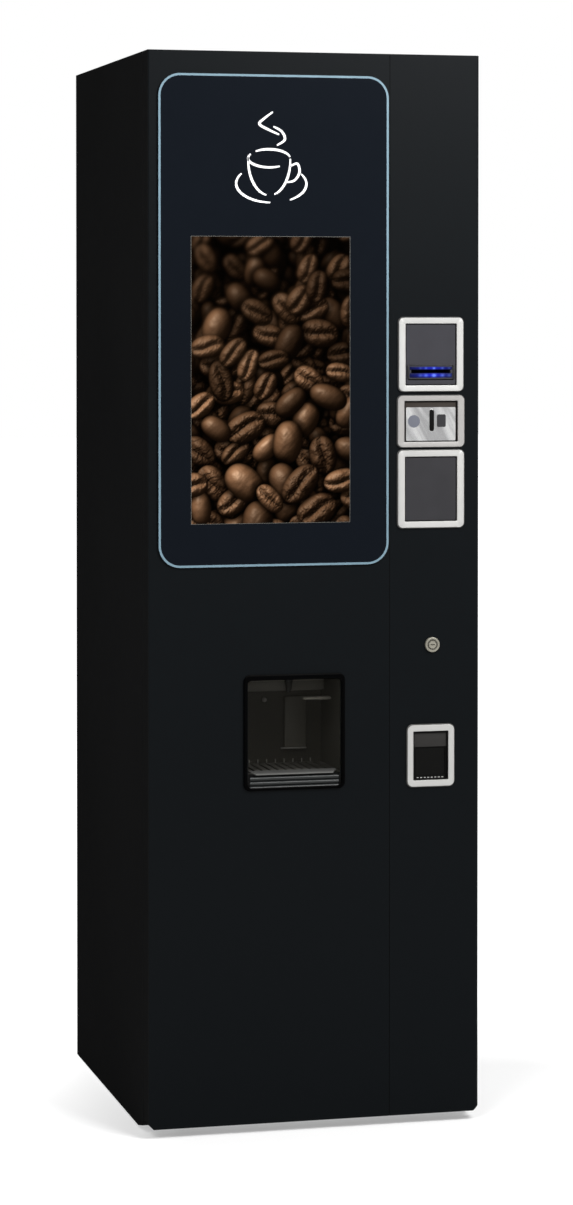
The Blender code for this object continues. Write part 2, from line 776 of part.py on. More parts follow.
def nozzle_arm():
    """The arm under the shelf that swings its three nozzles over the cup, parked beside the drop hole."""
    pivot = nozzle_pivot()
    reach = math.hypot(*NOZZLE_PIVOT)
    over_cup = math.atan2(-NOZZLE_PIVOT[1], -NOZZLE_PIVOT[0])
    parked = over_cup + NOZZLE_SWING
    along = Vector((math.cos(parked), math.sin(parked)))
    head = Vector(pivot) + along * reach
    boss, clear, steps = 0.009, 0.0005, 8
    outline = []
    ends = ((Vector(pivot), boss, parked + math.pi / 2), (head, NOZZLE_HEAD, parked - math.pi / 2))
    for centre, radius, start in ends:
        for step in range(steps + 1):
            angle = start + math.pi * step / steps
            outline.append((centre.x + radius * math.cos(angle), centre.y + radius * math.sin(angle)))
    bores = [circle(*pivot, NOZZLE_STUD + clear, 12)]
    for number in range(3):
        angle = parked + math.radians(120) * number
        spread = NOZZLE_HEAD / 2
        bores.append(circle(head.x + spread * math.cos(angle), head.y + spread * math.sin(angle), NOZZLE_BORE, 8))
    top = MID_SHELF_TOP - SHELF_SHEET - GAP
    arm = plate("nozzle_arm", [outline, *bores], top - NOZZLE_ARM_HEIGHT, top, "Z")
    hang(axle("nozzle_axis", (*pivot, top)), finish(arm, "dark_plastic"))


def cup_turret():
    """The revolver magazine of cups, one tube standing over the drop hole."""
    outlines = [circle(TURRET_X, TURRET_Y, TURRET_RADIUS, 40)]
    outlines.append(circle(TURRET_X, TURRET_Y, TURRET_SPINDLE + 2 * GAP, 16))
    for tube in range(TURRET_TUBES):
        angle = TURRET_ANGLE + 2 * math.pi * tube / TURRET_TUBES
        centre = (TURRET_X + TURRET_RING * math.cos(angle), TURRET_Y + TURRET_RING * math.sin(angle))
        outlines.append(circle(*centre, CUP_BORE, 24))
    bottom = MID_SHELF_TOP + GAP
    turret = plate("cup_turret", outlines, bottom, bottom + TURRET_HEIGHT, "Z")
    hang(axle("turret_axis", (TURRET_X, TURRET_Y, bottom)), finish(turret, "clear_plastic"))


def brewer():
    """The brew unit's frame with its chamber, and the piston above the chamber."""
    width, depth, height = BREWER
    bottom = MID_SHELF_TOP + GAP
    front, back = BREWER_Y - depth / 2, BREWER_Y + depth / 2
    column = CHAMBER_Y + 2 * CHAMBER_RADIUS
    block_top, top = bottom + CHAMBER_BLOCK, bottom + height
    outline = [
        (front, bottom),
        (back, bottom),
        (back, top),
        (front, top),
        (front, top - BRIDGE),
        (column, top - BRIDGE),
        (column, block_top),
        (front, block_top),
    ]
    frame = plate("brew_unit", [outline], BREWER_X - width / 2, BREWER_X + width / 2, "X")
    margin, centre = 0.01, (BREWER_X, CHAMBER_Y)
    bores = [
        cylinder("chamber", centre, CHAMBER_RADIUS, block_top - CHAMBER_DEPTH, block_top + margin, group="cutters"),
        cylinder("rod_guide", centre, PISTON_ROD + GAP, top - BRIDGE - margin, top + margin, group="cutters"),
    ]
    chute_radius, lean = 0.013, math.radians(-13)
    run = [(0, margin), (chute_radius, margin), (chute_radius, -height / 2), (0, -height / 2)]
    chute = turned("grounds_chute", run, (0, 0, 0), steps=16, group="cutters")
    chute.matrix_world = Matrix.Translation((BREWER_X, GRINDER_Y, top + margin)) @ Matrix.Rotation(lean, 4, "X")
    finish(cut(frame, *bores, chute), "grey_plastic")
    head, rest, fit = 0.014, 0.012, 0.0004
    head_bottom = block_top + rest
    rod_top = UPPER_SHELF_TOP - SHELF_SHEET - 0.010
    profile = [
        (0, rod_top),
        (PISTON_ROD, rod_top),
        (PISTON_ROD, head_bottom + head),
        (CHAMBER_RADIUS - fit, head_bottom + head),
        (CHAMBER_RADIUS - fit, head_bottom),
        (0, head_bottom),
    ]
    piston = turned("brewer_piston", profile, (*centre, 0))
    hang(axle("piston_axis", (*centre, head_bottom)), finish(piston, "white_plastic"))


def grinder():
    """The grinder on the upper shelf, the bean hopper on it and the hopper's hinged lid."""
    shelf_top = UPPER_SHELF_TOP + GAP
    top = shelf_top + GRINDER_HEIGHT
    throat, collar = 0.028, 0.012
    profile = [
        (0, top - 3 * collar),
        (throat, top - 2 * collar),
        (throat, top),
        (HOPPER_NECK + 0.006, top),
        (HOPPER_NECK + 0.006, top - collar),
        (GRINDER_RADIUS, top - 2 * collar),
        (GRINDER_RADIUS, shelf_top),
        (GRINDER_SPOUT, shelf_top),
        (GRINDER_SPOUT, shelf_top - SPOUT_LENGTH),
        (0, shelf_top - SPOUT_LENGTH),
    ]
    finish(turned("grinder", profile, (BREWER_X, GRINDER_Y, 0)), "grey_plastic")
    slope_top = HOPPER_BOTTOM + 0.075
    inner_neck = HOPPER_NECK - HOPPER_WALL
    inner_radius = HOPPER_RADIUS - HOPPER_WALL
    hopper = [
        (HOPPER_RADIUS, HOPPER_TOP),
        (HOPPER_RADIUS, slope_top),
        (HOPPER_NECK, HOPPER_BOTTOM + 0.010),
        (HOPPER_NECK, HOPPER_BOTTOM),
        (inner_neck, HOPPER_BOTTOM),
        (inner_neck, HOPPER_BOTTOM + 0.010),
        (inner_radius, slope_top),
        (inner_radius, HOPPER_TOP),
        (HOPPER_RADIUS, HOPPER_TOP),
    ]
    body = turned("bean_hopper", hopper, (BREWER_X, GRINDER_Y, 0), steps=28)
    lug, lug_depth, pin = 0.008, 0.014, 0.0016
    hinge_y = GRINDER_Y + HOPPER_RADIUS + 0.008
    hinge_z = HOPPER_TOP - 0.006
    lugs = []
    for side in (-1, 1):
        low, high = sorted((side * 0.020, side * (0.020 + lug)))
        lugs.append(
            box(
                f"hopper_lug_{'left' if side < 0 else 'right'}",
                (BREWER_X + low, hinge_y - lug_depth, hinge_z - 0.012),
                (BREWER_X + high, hinge_y + 0.005, hinge_z + 0.0045),
            )
        )
    reach, hole = 0.05, circle(hinge_y, hinge_z, pin + 2 * GAP, 12)
    bore = plate("lid_pin_bore", [hole], BREWER_X - reach, BREWER_X + reach, "X", "cutters")
    finish(cut(join(body, *lugs), bore), "clear_plastic")
    lid_bottom = HOPPER_TOP + GAP
    lid_top = lid_bottom + LID_THICKNESS
    disc = [(0, lid_top), (HOPPER_RADIUS, lid_top), (HOPPER_RADIUS, lid_bottom), (0, lid_bottom)]
    lid = turned("hopper_lid", disc, (BREWER_X, GRINDER_Y, 0), steps=28)
    half, eye = 0.020 - 2 * GAP, 0.0025
    left, right = BREWER_X - half, BREWER_X + half
    ear = box("lid_ear", (left, hinge_y - 0.020, lid_bottom), (right, hinge_y + eye, lid_top))
    drop = box("lid_knuckle", (left, hinge_y - eye, hinge_z - eye), (right, hinge_y + eye, lid_top))
    bar = plate("lid_pin", [circle(hinge_y, hinge_z, pin, 12)], BREWER_X - 0.027, BREWER_X + 0.027, "X")
    hang(axle("lid_axis", (BREWER_X, hinge_y, hinge_z)), finish(join(lid, ear, drop, bar), "dark_plastic"))


def canister_x(number):
    """The middle of one canister, counted from the right."""
    return RIGHT - CANISTER_RIGHT - CANISTER[0] / 2 - number * CANISTER_PITCH


def canisters():
    """The instant product canisters with their augers, and a mixing bowl with its whipper under each spout."""
    width, depth, height = CANISTER
    bottom = UPPER_SHELF_TOP + GAP
    front = SHELF_FRONT + 0.004
    wall = CANISTER_WALL
    axis_z = bottom + AUGER_HEIGHT
    for number in range(CANISTERS):
        x = canister_x(number)
        tag = number + 1
        body = box(f"canister_{tag}", (x - width / 2, front, bottom), (x + width / 2, front + depth, bottom + height))
        spout_width, spout_depth, spout_height = SPOUT
        spout = box(
            f"spout_{tag}",
            (x - spout_width / 2, front - spout_depth, bottom),
            (x + spout_width / 2, front + wall / 2, bottom + spout_height),
        )
        join(body, spout)
        margin = 0.01
        hollow = box(
            f"canister_hollow_{tag}",
            (x - width / 2 + wall, front + wall, bottom + wall),
            (x + width / 2 - wall, front + depth - wall, bottom + height + margin),
            "cutters",
        )
        channel = box(
            f"spout_hollow_{tag}",
            (x - spout_width / 2 + wall, front - spout_depth + wall, bottom - margin),
            (x + spout_width / 2 - wall, front - wall / 2, bottom + spout_height - wall),
            "cutters",
        )
        bore = AUGER_RADIUS + 0.0015
        place, back, fit = (x, axis_z), front + depth, AUGER_SHAFT + GAP
        mouth = cylinder(f"auger_mouth_{tag}", place, bore, front - 2 * wall, front + 2 * wall, "Y", 20, "cutters")
        hole = cylinder(f"auger_hole_{tag}", place, fit, back - 2 * wall, back + margin, "Y", 16, "cutters")
        finish(cut(body, hollow, channel, mouth, hole), "clear_plastic")
        auger(tag, x, front - spout_depth + 2 * wall, back, axis_z)
        mixing_bowl(tag, x)


def auger(tag, x, start, back, height):
    """One auger: a flat bar twisted along the canister and a shaft out of its back."""
    blade, rungs_a_turn = 0.007, 16
    end = back - CANISTER_WALL - 0.002
    shape = bmesh.new()
    bmesh.ops.create_cube(shape, size=1.0)
    length = end - start
    bmesh.ops.scale(shape, vec=(2 * AUGER_RADIUS, blade, length), verts=shape.verts)
    rungs = [edge for edge in shape.edges if abs(edge.verts[0].co.z - edge.verts[1].co.z) > length / 2]
    bmesh.ops.subdivide_edges(shape, edges=rungs, cuts=rungs_a_turn * AUGER_TURNS - 1)
    made = add_mesh(f"auger_{tag}", shape, OBJECT_NAME)
    twist = made.modifiers.new("Twist", "SIMPLE_DEFORM")
    twist.deform_method = "TWIST"
    twist.deform_axis = "Z"
    twist.angle = 2 * math.pi * AUGER_TURNS
    middle = (start + end) / 2
    made.matrix_world = Matrix.Translation((x, middle, height)) @ AXIS_TURNS["Y"].to_4x4()
    shaft_end = back + 0.018
    shaft = cylinder(f"auger_shaft_{tag}", (x, height), AUGER_SHAFT, end - 0.010, shaft_end, "Y", 12)
    hang(axle(f"auger_axis_{tag}", (x, middle, height)), finish(join(made, shaft), "white_plastic"))


def mixing_bowl(tag, x):
    """One mixing bowl hung under the upper shelf, and the whipper in its chamber."""
    width, depth, height = BOWL
    under = UPPER_SHELF_TOP - SHELF_SHEET
    top = under - BOWL_DROP
    back = SHELF_FRONT + 0.020
    front = back - depth
    bowl = box(f"mixing_bowl_{tag}", (x - width / 2, front, top - height), (x + width / 2, back, top))
    bracket = box(f"bowl_bracket_{tag}", (x - 0.020, back - 0.008, top - 0.020), (x + 0.020, back, under - GAP))
    join(bowl, bracket)
    cone_y, chamber_z = back - 0.046, top - height + 0.024
    margin = 0.010
    neck, slope = 0.008, 0.045
    profile = [
        (0, top + margin),
        (BOWL_CONE, top + margin),
        (BOWL_CONE, top),
        (neck, top - slope),
        (neck, chamber_z),
        (0, chamber_z),
    ]
    funnel = turned(f"bowl_funnel_{tag}", profile, (x, cone_y, 0), group="cutters")
    bore, place, half = WHIPPER_RADIUS + 0.002, (x, chamber_z), 0.014
    chamber = cylinder(f"whip_chamber_{tag}", place, bore, cone_y - half, cone_y + half, "Y", 20, "cutters")
    drain, low = (x, cone_y - 0.004), top - height - margin
    outlet = cylinder(f"bowl_outlet_{tag}", drain, 0.005, low, chamber_z, "Z", 12, "cutters")
    fit = WHIPPER_SHAFT + GAP
    guide = cylinder(f"whip_guide_{tag}", place, fit, cone_y, back + margin, "Y", 12, "cutters")
    finish(cut(bowl, funnel, chamber, outlet, guide), "grey_plastic")
    disc_front, disc_back = 0.004, -0.002
    shaft_end = -(back - cone_y) - 0.014
    profile = [
        (0, disc_front),
        (WHIPPER_RADIUS, disc_front),
        (WHIPPER_RADIUS, disc_back),
        (WHIPPER_SHAFT, disc_back),
        (WHIPPER_SHAFT, shaft_end),
        (0, shaft_end),
    ]
    whipper = turned(f"whipper_{tag}", profile, (x, cone_y, chamber_z), "Y", 16)
    hang(axle(f"whipper_axis_{tag}", (x, cone_y, chamber_z)), finish(whipper, "white_plastic"))


def water_works():
    """The boiler on the middle shelf and the pump on the base tray."""
    bottom, dome, port = MID_SHELF_TOP + GAP, 0.022, 0.008
    top = bottom + BOILER_HEIGHT
    profile = [
        (0, top),
        (port, top),
        (port, top - 0.020),
        (BOILER_RADIUS * 0.55, top - 0.020),
        (BOILER_RADIUS * 0.88, top - 0.020 - dome * 0.35),
        (BOILER_RADIUS, top - 0.020 - dome),
        (BOILER_RADIUS, bottom),
        (0, bottom),
    ]
    finish(turned("boiler", profile, (BOILER_X, BOILER_Y, 0), steps=28), "steel")
    foot = 0.008
    x, y, z = 0.135, 0.215, TRAY_TOP + GAP + foot + PUMP_RADIUS
    motor = plate("water_pump", [circle(y, z, PUMP_RADIUS, 24)], x - PUMP_LENGTH / 2, x + PUMP_LENGTH / 2, "X")
    plinth = box(
        "pump_foot",
        (x - PUMP_LENGTH / 3, y - PUMP_RADIUS, TRAY_TOP + GAP),
        (x + PUMP_LENGTH / 3, y + PUMP_RADIUS, z - PUMP_RADIUS / 2),
    )
    head = plate("pump_head", [circle(y, z, PUMP_RADIUS * 0.6, 16)], x - PUMP_LENGTH / 2 - 0.022, x, "X")
    finish(join(motor, plinth, head), "steel")


def bucket():
    """The open waste bucket on the base tray, behind the door."""
    width, depth, height = BUCKET
    x, front = -0.030, CABINET_FRONT + CHAMFER_LENGTH + 0.004
    bottom = TRAY_TOP + GAP
    outer = box("waste_bucket", (x - width / 2, front, bottom), (x + width / 2, front + depth, bottom + height))
    margin = 0.01
    hollow = box(
        "bucket_hollow",
        (x - width / 2 + BUCKET_WALL, front + BUCKET_WALL, bottom + BUCKET_WALL),
        (x + width / 2 - BUCKET_WALL, front + depth - BUCKET_WALL, bottom + height + margin),
        "cutters",
    )
    finish(cut(outer, hollow), "dark_plastic")


def control_box():
    """The control box on the inside of the back, with a step for its lid."""
    width, depth, height = CONTROL_BOX
    x, back, bottom, lid = -0.050, INNER_BACK, CONTROL_BOX_BOTTOM, 0.004
    outline = spanned((x - width / 2, bottom), (x + width / 2, bottom + height))
    body = plate("control_box", [outline], back - depth + lid, back)
    rim = rounded((x, bottom + height / 2), (width + lid, height + lid), lid, 2)
    cover = plate("control_cover", [rim], back - depth, back - depth + 2 * lid)
    finish(join(body, cover), "zinc_sheet")


def corner_cuts(name):
    """Two prisms that cut the door's bottom corners."""
    margin = 0.002
    outlines = []
    for side in (-1, 1):
        edge = side * (WIDTH / 2 + margin)
        reach = side * (WIDTH / 2 - CORNER_CUT)
        rise = DOOR_BOTTOM + CORNER_CUT
        low = DOOR_BOTTOM - margin
        outlines.append([(edge, low), (reach - side * margin, low), (edge, rise + margin)])
    return plate(name, outlines, FACE - margin, DOOR_BACK + margin, "Y", "cutters")


def folded_front(outer, seam, radius):
    """The plan of a front sheet that folds back along the door's side: (x, y) points."""
    side = 1 if outer > seam else -1
    steps = 4
    points = [(seam, FACE)]
    for step in range(steps + 1):
        angle = math.pi / 2 * step / steps
        points.append((outer - side * radius * (1 - math.sin(angle)), FACE + radius * (1 - math.cos(angle))))
    points += [(outer, DOOR_BACK), (outer - side * SHEET, DOOR_BACK)]
    inner = radius - SHEET
    for step in range(steps, -1, -1):
        angle = math.pi / 2 * step / steps
        points.append((outer - side * (radius - inner * math.sin(angle)), FACE + radius - inner * math.cos(angle)))
    points.append((seam, PANEL_BACK))
    return points


def door_panels():
    """The door's two folded front sheets: the main panel on the left and the payment panel on the right."""
    margin = 0.004
    main = plate(
        "main_panel",
        [folded_front(LEFT, SEAM_X - SEAM / 2, 0.0025)],
        DOOR_BOTTOM,
        HEIGHT,
        "Z",
    )
    screen = rounded(display_centre(), grown(DISPLAY_SIZE, 0.001), 0.002, 2)
    low = CUP_OPENING_BOTTOM
    high = low + CUP_OPENING_SIZE[1]
    half = CUP_OPENING_SIZE[0] / 2 - 0.002
    window = spanned((CUP_AXIS - half, low), (CUP_AXIS + half, high))
    openings = plate("main_openings", [screen, window], FACE - margin, PANEL_BACK + margin, "Y", "cutters")
    finish(cut(main, openings, corner_cuts("main_corner")), "black_paint")
    pay = plate(
        "payment_panel",
        [folded_front(RIGHT, SEAM_X + SEAM / 2, EDGE_RADIUS)],
        DOOR_BOTTOM,
        HEIGHT,
        "Z",
    )
    holes = [
        rectangle((COLUMN_AXIS, BILL_HEIGHT), BILL_OPENING),
        rounded(coin_slot_centre(), grown(COIN_SLOT, 0.001), COIN_SLOT[0] / 2, 4),
        rounded(button_centre(), grown(BUTTON, 0.001), 0.003, 3),
        rectangle((COLUMN_AXIS, RETURN_HEIGHT), grown(RETURN_OPENING, 0.001)),
        circle(COLUMN_AXIS + LOCK_OFFSET, LOCK_HEIGHT, LOCK_BARREL + GAP),
    ]
    payment = plate("payment_openings", holes, FACE - margin, PANEL_BACK + margin, "Y", "cutters")
    finish(cut(pay, payment, corner_cuts("payment_corner")), "black_paint")
    return [main, pay]


def cut_corner(low, high, left_cut, right_cut):
    """A rectangle between two corners with its bottom left and bottom right corners cut."""
    points = [high, (low[0], high[1])]
    if left_cut:
        points += [(low[0], low[1] + left_cut), (low[0] + left_cut, low[1])]
    else:
        points.append(low)
    if right_cut:
        points += [(high[0] - right_cut, low[1]), (high[0], low[1] + right_cut)]
    else:
        points.append((high[0], low[1]))
    return points


def door_frame():
    """The door's frame of folded channels, with a mullion behind the seam between the panels."""
    edge = SHEET + GAP
    low, high = DOOR_BOTTOM, HEIGHT
    left, right = LEFT + edge, RIGHT - edge
    windows = [
        ((left + RAIL, low + RAIL), (MULLION_X - MULLION / 2, high - RAIL)),
        ((MULLION_X + MULLION / 2, low + RAIL), (right - RAIL, high - RAIL)),
    ]
    outer = cut_corner((left, low), (right, high), CORNER_CUT, CORNER_CUT)
    frame = plate("door_frame", [outer, *(spanned(*window) for window in windows)], FRAME_FRONT, DOOR_BACK)
    reach, web = RAIL - FRAME_WALL, (MULLION - FRAME_WALL) / 2
    bottom, top = low + FRAME_WALL, high - FRAME_WALL
    channels = [
        cut_corner((windows[0][0][0] - reach, bottom), (windows[0][1][0] + web, top), CORNER_CUT, 0),
        cut_corner((windows[1][0][0] - web, bottom), (windows[1][1][0] + reach, top), 0, CORNER_CUT),
    ]
    hollow = plate("frame_channels", channels, FRAME_FRONT + FRAME_WALL, DOOR_BACK - FRAME_WALL, "Y", "cutters")
    margin = 0.01
    edges = box(
        "frame_edge",
        (right - EDGE_RADIUS, FRAME_FRONT - margin, low - margin),
        (right + margin, FRAME_FRONT + EDGE_RADIUS - SHEET, high + margin),
        "cutters",
    )
    return finish(cut(frame, hollow, edges, solver="MANIFOLD"), "zinc_sheet")


def display_centre():
    """The display's middle on the door's face."""
    return LEFT + DISPLAY_CENTRE, DISPLAY_HEIGHT_CENTRE


def screen_pieces():
    """The fascia glass and the display module behind it."""
    left, right = LEFT + FASCIA_INSET, SEAM_X - SEAM / 2 - FASCIA_SEAM_INSET
    centre = ((left + right) / 2, FASCIA_BOTTOM + FASCIA_HEIGHT / 2)
    outline = rounded(centre, (right - left, FASCIA_HEIGHT), FASCIA_RADIUS, 8)
    fascia = plate("fascia", [outline], FACE - GAP - FASCIA_THICKNESS, FACE - GAP)
    rim, rim_depth = 0.008, 0.006
    front = plate("display_module", [rectangle(display_centre(), DISPLAY_SIZE)], FACE, PANEL_BACK + rim_depth)
    body = plate(
        "display_body",
        [rectangle(display_centre(), grown(DISPLAY_SIZE, rim))],
        FRAME_FRONT,
        FRAME_FRONT + DISPLAY_DEPTH,
    )
    return [finish(fascia, "navy_glass"), finish(join(front, body), "screen")]


def bezel(name, height, outer, inner, radius, inner_lift=0.0):
    """A flat ring that stands out of the payment panel."""
    outlines = [
        rounded((COLUMN_AXIS, height), outer, radius, 3),
        rounded((COLUMN_AXIS, height + inner_lift), inner, radius * 0.7, 3),
    ]
    return finish(plate(name, outlines, -DEPTH / 2, FACE - GAP), "silver_plastic")


def coin_slot_centre():
    """The coin slot's middle."""
    return COLUMN_AXIS + COIN_SLOT_OFFSET, COIN_HEIGHT + 0.0015


def button_centre():
    """The coin return button's middle."""
    return COLUMN_AXIS + BUTTON_OFFSET, COIN_HEIGHT + 0.001


def bill_pieces():
    """The note reader and the bezel round its nose."""
    nose_front = FACE - GAP - COIN_PLATE_THICKNESS
    nose = rounded((COLUMN_AXIS, BILL_HEIGHT), grown(BILL_OPENING, -GAP), BEZEL_CORNER * 0.7, 3)
    reader = plate("bill_validator", [nose], nose_front, FACE + BILL_DEPTH)
    slot_height = BILL_HEIGHT - BILL_SLOT_DROP
    half_width, half_height = BILL_SLOT[0] / 2, BILL_SLOT[1] / 2
    slot = box(
        "bill_slot",
        (COLUMN_AXIS - half_width, nose_front - 0.01, slot_height - half_height),
        (COLUMN_AXIS + half_width, nose_front + BILL_SLOT_DEPTH, slot_height + half_height),
        "cutters",
    )
    ring = bezel("bill_bezel", BILL_HEIGHT, BILL_BEZEL, BILL_OPENING, BEZEL_CORNER)
    return [ring, finish(cut(reader, slot), "grey_plate")]


def coin_pieces():
    """The coin plate in its bezel, the coin mechanism and the coin box behind it."""
    ring = bezel("coin_bezel", COIN_HEIGHT, COIN_BEZEL, COIN_OPENING, BEZEL_CORNER)
    fit = BUTTON_CLEARANCE
    outlines = [
        rounded((COLUMN_AXIS, COIN_HEIGHT - COIN_PLATE_DROP), COIN_PLATE, 0.0015, 2),
        rounded(coin_slot_centre(), COIN_SLOT, COIN_SLOT[0] / 2 - 1e-4, 4),
        rounded(button_centre(), grown(BUTTON, fit), 0.002, 3),
    ]
    sheet = plate("coin_plate", outlines, FACE - GAP - COIN_PLATE_THICKNESS, FACE - GAP)
    width, height = COIN_MECHANISM
    top = COIN_HEIGHT + 0.035
    front = FRAME_FRONT
    middle = (COLUMN_AXIS, top - height / 2)
    mechanism = plate("coin_mechanism", [rectangle(middle, COIN_MECHANISM)], front, front + COIN_MECHANISM_DEPTH)
    x, z = coin_slot_centre()
    slot = box(
        "coin_slot_bore",
        (x - COIN_SLOT[0] / 2, front - 0.01, z - COIN_SLOT[1] / 2),
        (x + COIN_SLOT[0] / 2, front + COIN_SLOT_DEPTH, z + COIN_SLOT[1] / 2),
        "cutters",
    )
    pocket_end = button_front() + BUTTON_DEPTH + BUTTON_TRAVEL + 2 * GAP
    pocket = plate(
        "button_pocket",
        [rounded(button_centre(), grown(BUTTON, fit), 0.002, 3)],
        front - 0.01,
        pocket_end,
        "Y",
        "cutters",
    )
    low = COIN_BOX_BOTTOM
    half = COIN_BOX[0] / 2
    cash = box(
        "coin_box",
        (COLUMN_AXIS - half, front, low),
        (COLUMN_AXIS + half, front + COIN_BOX_DEPTH, low + COIN_BOX[1]),
    )
    wall, margin = 0.002, 0.01
    hollow = box(
        "coin_box_hollow",
        (COLUMN_AXIS - half + wall, front + wall, low + wall),
        (COLUMN_AXIS + half - wall, front + COIN_BOX_DEPTH - wall, low + COIN_BOX[1] + margin),
        "cutters",
    )
    return [
        ring,
        finish(sheet, "steel"),
        finish(cut(mechanism, slot, pocket), "grey_plastic"),
        finish(cut(cash, hollow), "zinc_sheet"),
    ]


def button_front():
    """The coin return button's face at rest."""
    return FACE - GAP - COIN_PLATE_THICKNESS - 0.0022


def blank_pieces():
    """The blank plate and its bezel, for a reader that is not fitted."""
    ring = bezel("blank_bezel", BLANK_HEIGHT, BLANK_BEZEL, BLANK_OPENING, BEZEL_CORNER)
    outline = rounded((COLUMN_AXIS, BLANK_HEIGHT), grown(BLANK_OPENING, -GAP), BEZEL_CORNER * 0.7, 3)
    sheet = plate("blank_plate", [outline], FACE - GAP - COIN_PLATE_THICKNESS, FACE - GAP)
    return [ring, finish(sheet, "grey_plate")]


def return_pieces():
    """The coin return's bezel and cup, and the flap hinged at the top of the cup's mouth."""
    ring = bezel("return_bezel", RETURN_HEIGHT, RETURN_BEZEL, RETURN_OPENING, RETURN_CORNER)
    front = FRAME_FRONT
    clear = 0.0006
    flap_width, flap_height = RETURN_FLAP
    outline = rectangle((COLUMN_AXIS, RETURN_HEIGHT), grown(RETURN_OPENING, 0.006))
    cup = plate("return_cup", [outline], front, front + RETURN_CUP_DEPTH)
    low, high = RETURN_FLAP_BOTTOM - clear, RETURN_FLAP_BOTTOM + flap_height + clear
    half = flap_width / 2 + clear
    mouth = box(
        "return_mouth",
        (COLUMN_AXIS - half, front - 0.01, low),
        (COLUMN_AXIS + half, front + RETURN_CUP_DEPTH - RETURN_WALL, high),
        "cutters",
    )
    pin, pin_reach = 0.0008, 0.003
    pin_y = front + RETURN_FLAP_THICKNESS / 2 + clear
    pin_z = RETURN_FLAP_BOTTOM + flap_height - 0.002
    bore = plate(
        "return_pin_bore",
        [circle(pin_y, pin_z, pin + 2 * GAP, 10)],
        COLUMN_AXIS - half - pin_reach,
        COLUMN_AXIS + half + pin_reach,
        "X",
        "cutters",
    )
    finish(cut(cup, mouth, bore), "dark_plastic")
    plate_low, plate_high = pin_y - RETURN_FLAP_THICKNESS / 2, pin_y + RETURN_FLAP_THICKNESS / 2
    centre = (COLUMN_AXIS, RETURN_FLAP_BOTTOM + flap_height / 2)
    flap = plate("coin_return_flap", [rectangle(centre, RETURN_FLAP)], plate_low, plate_high)
    reach = half + pin_reach - clear
    bar = plate("return_pin", [circle(pin_y, pin_z, pin, 8)], COLUMN_AXIS - reach, COLUMN_AXIS + reach, "X")
    finish(join(flap, bar), "dark_plastic")
    pivot = axle("coin_return_axis", (COLUMN_AXIS, pin_y, pin_z))
    return [ring, cup, pivot], pivot, flap


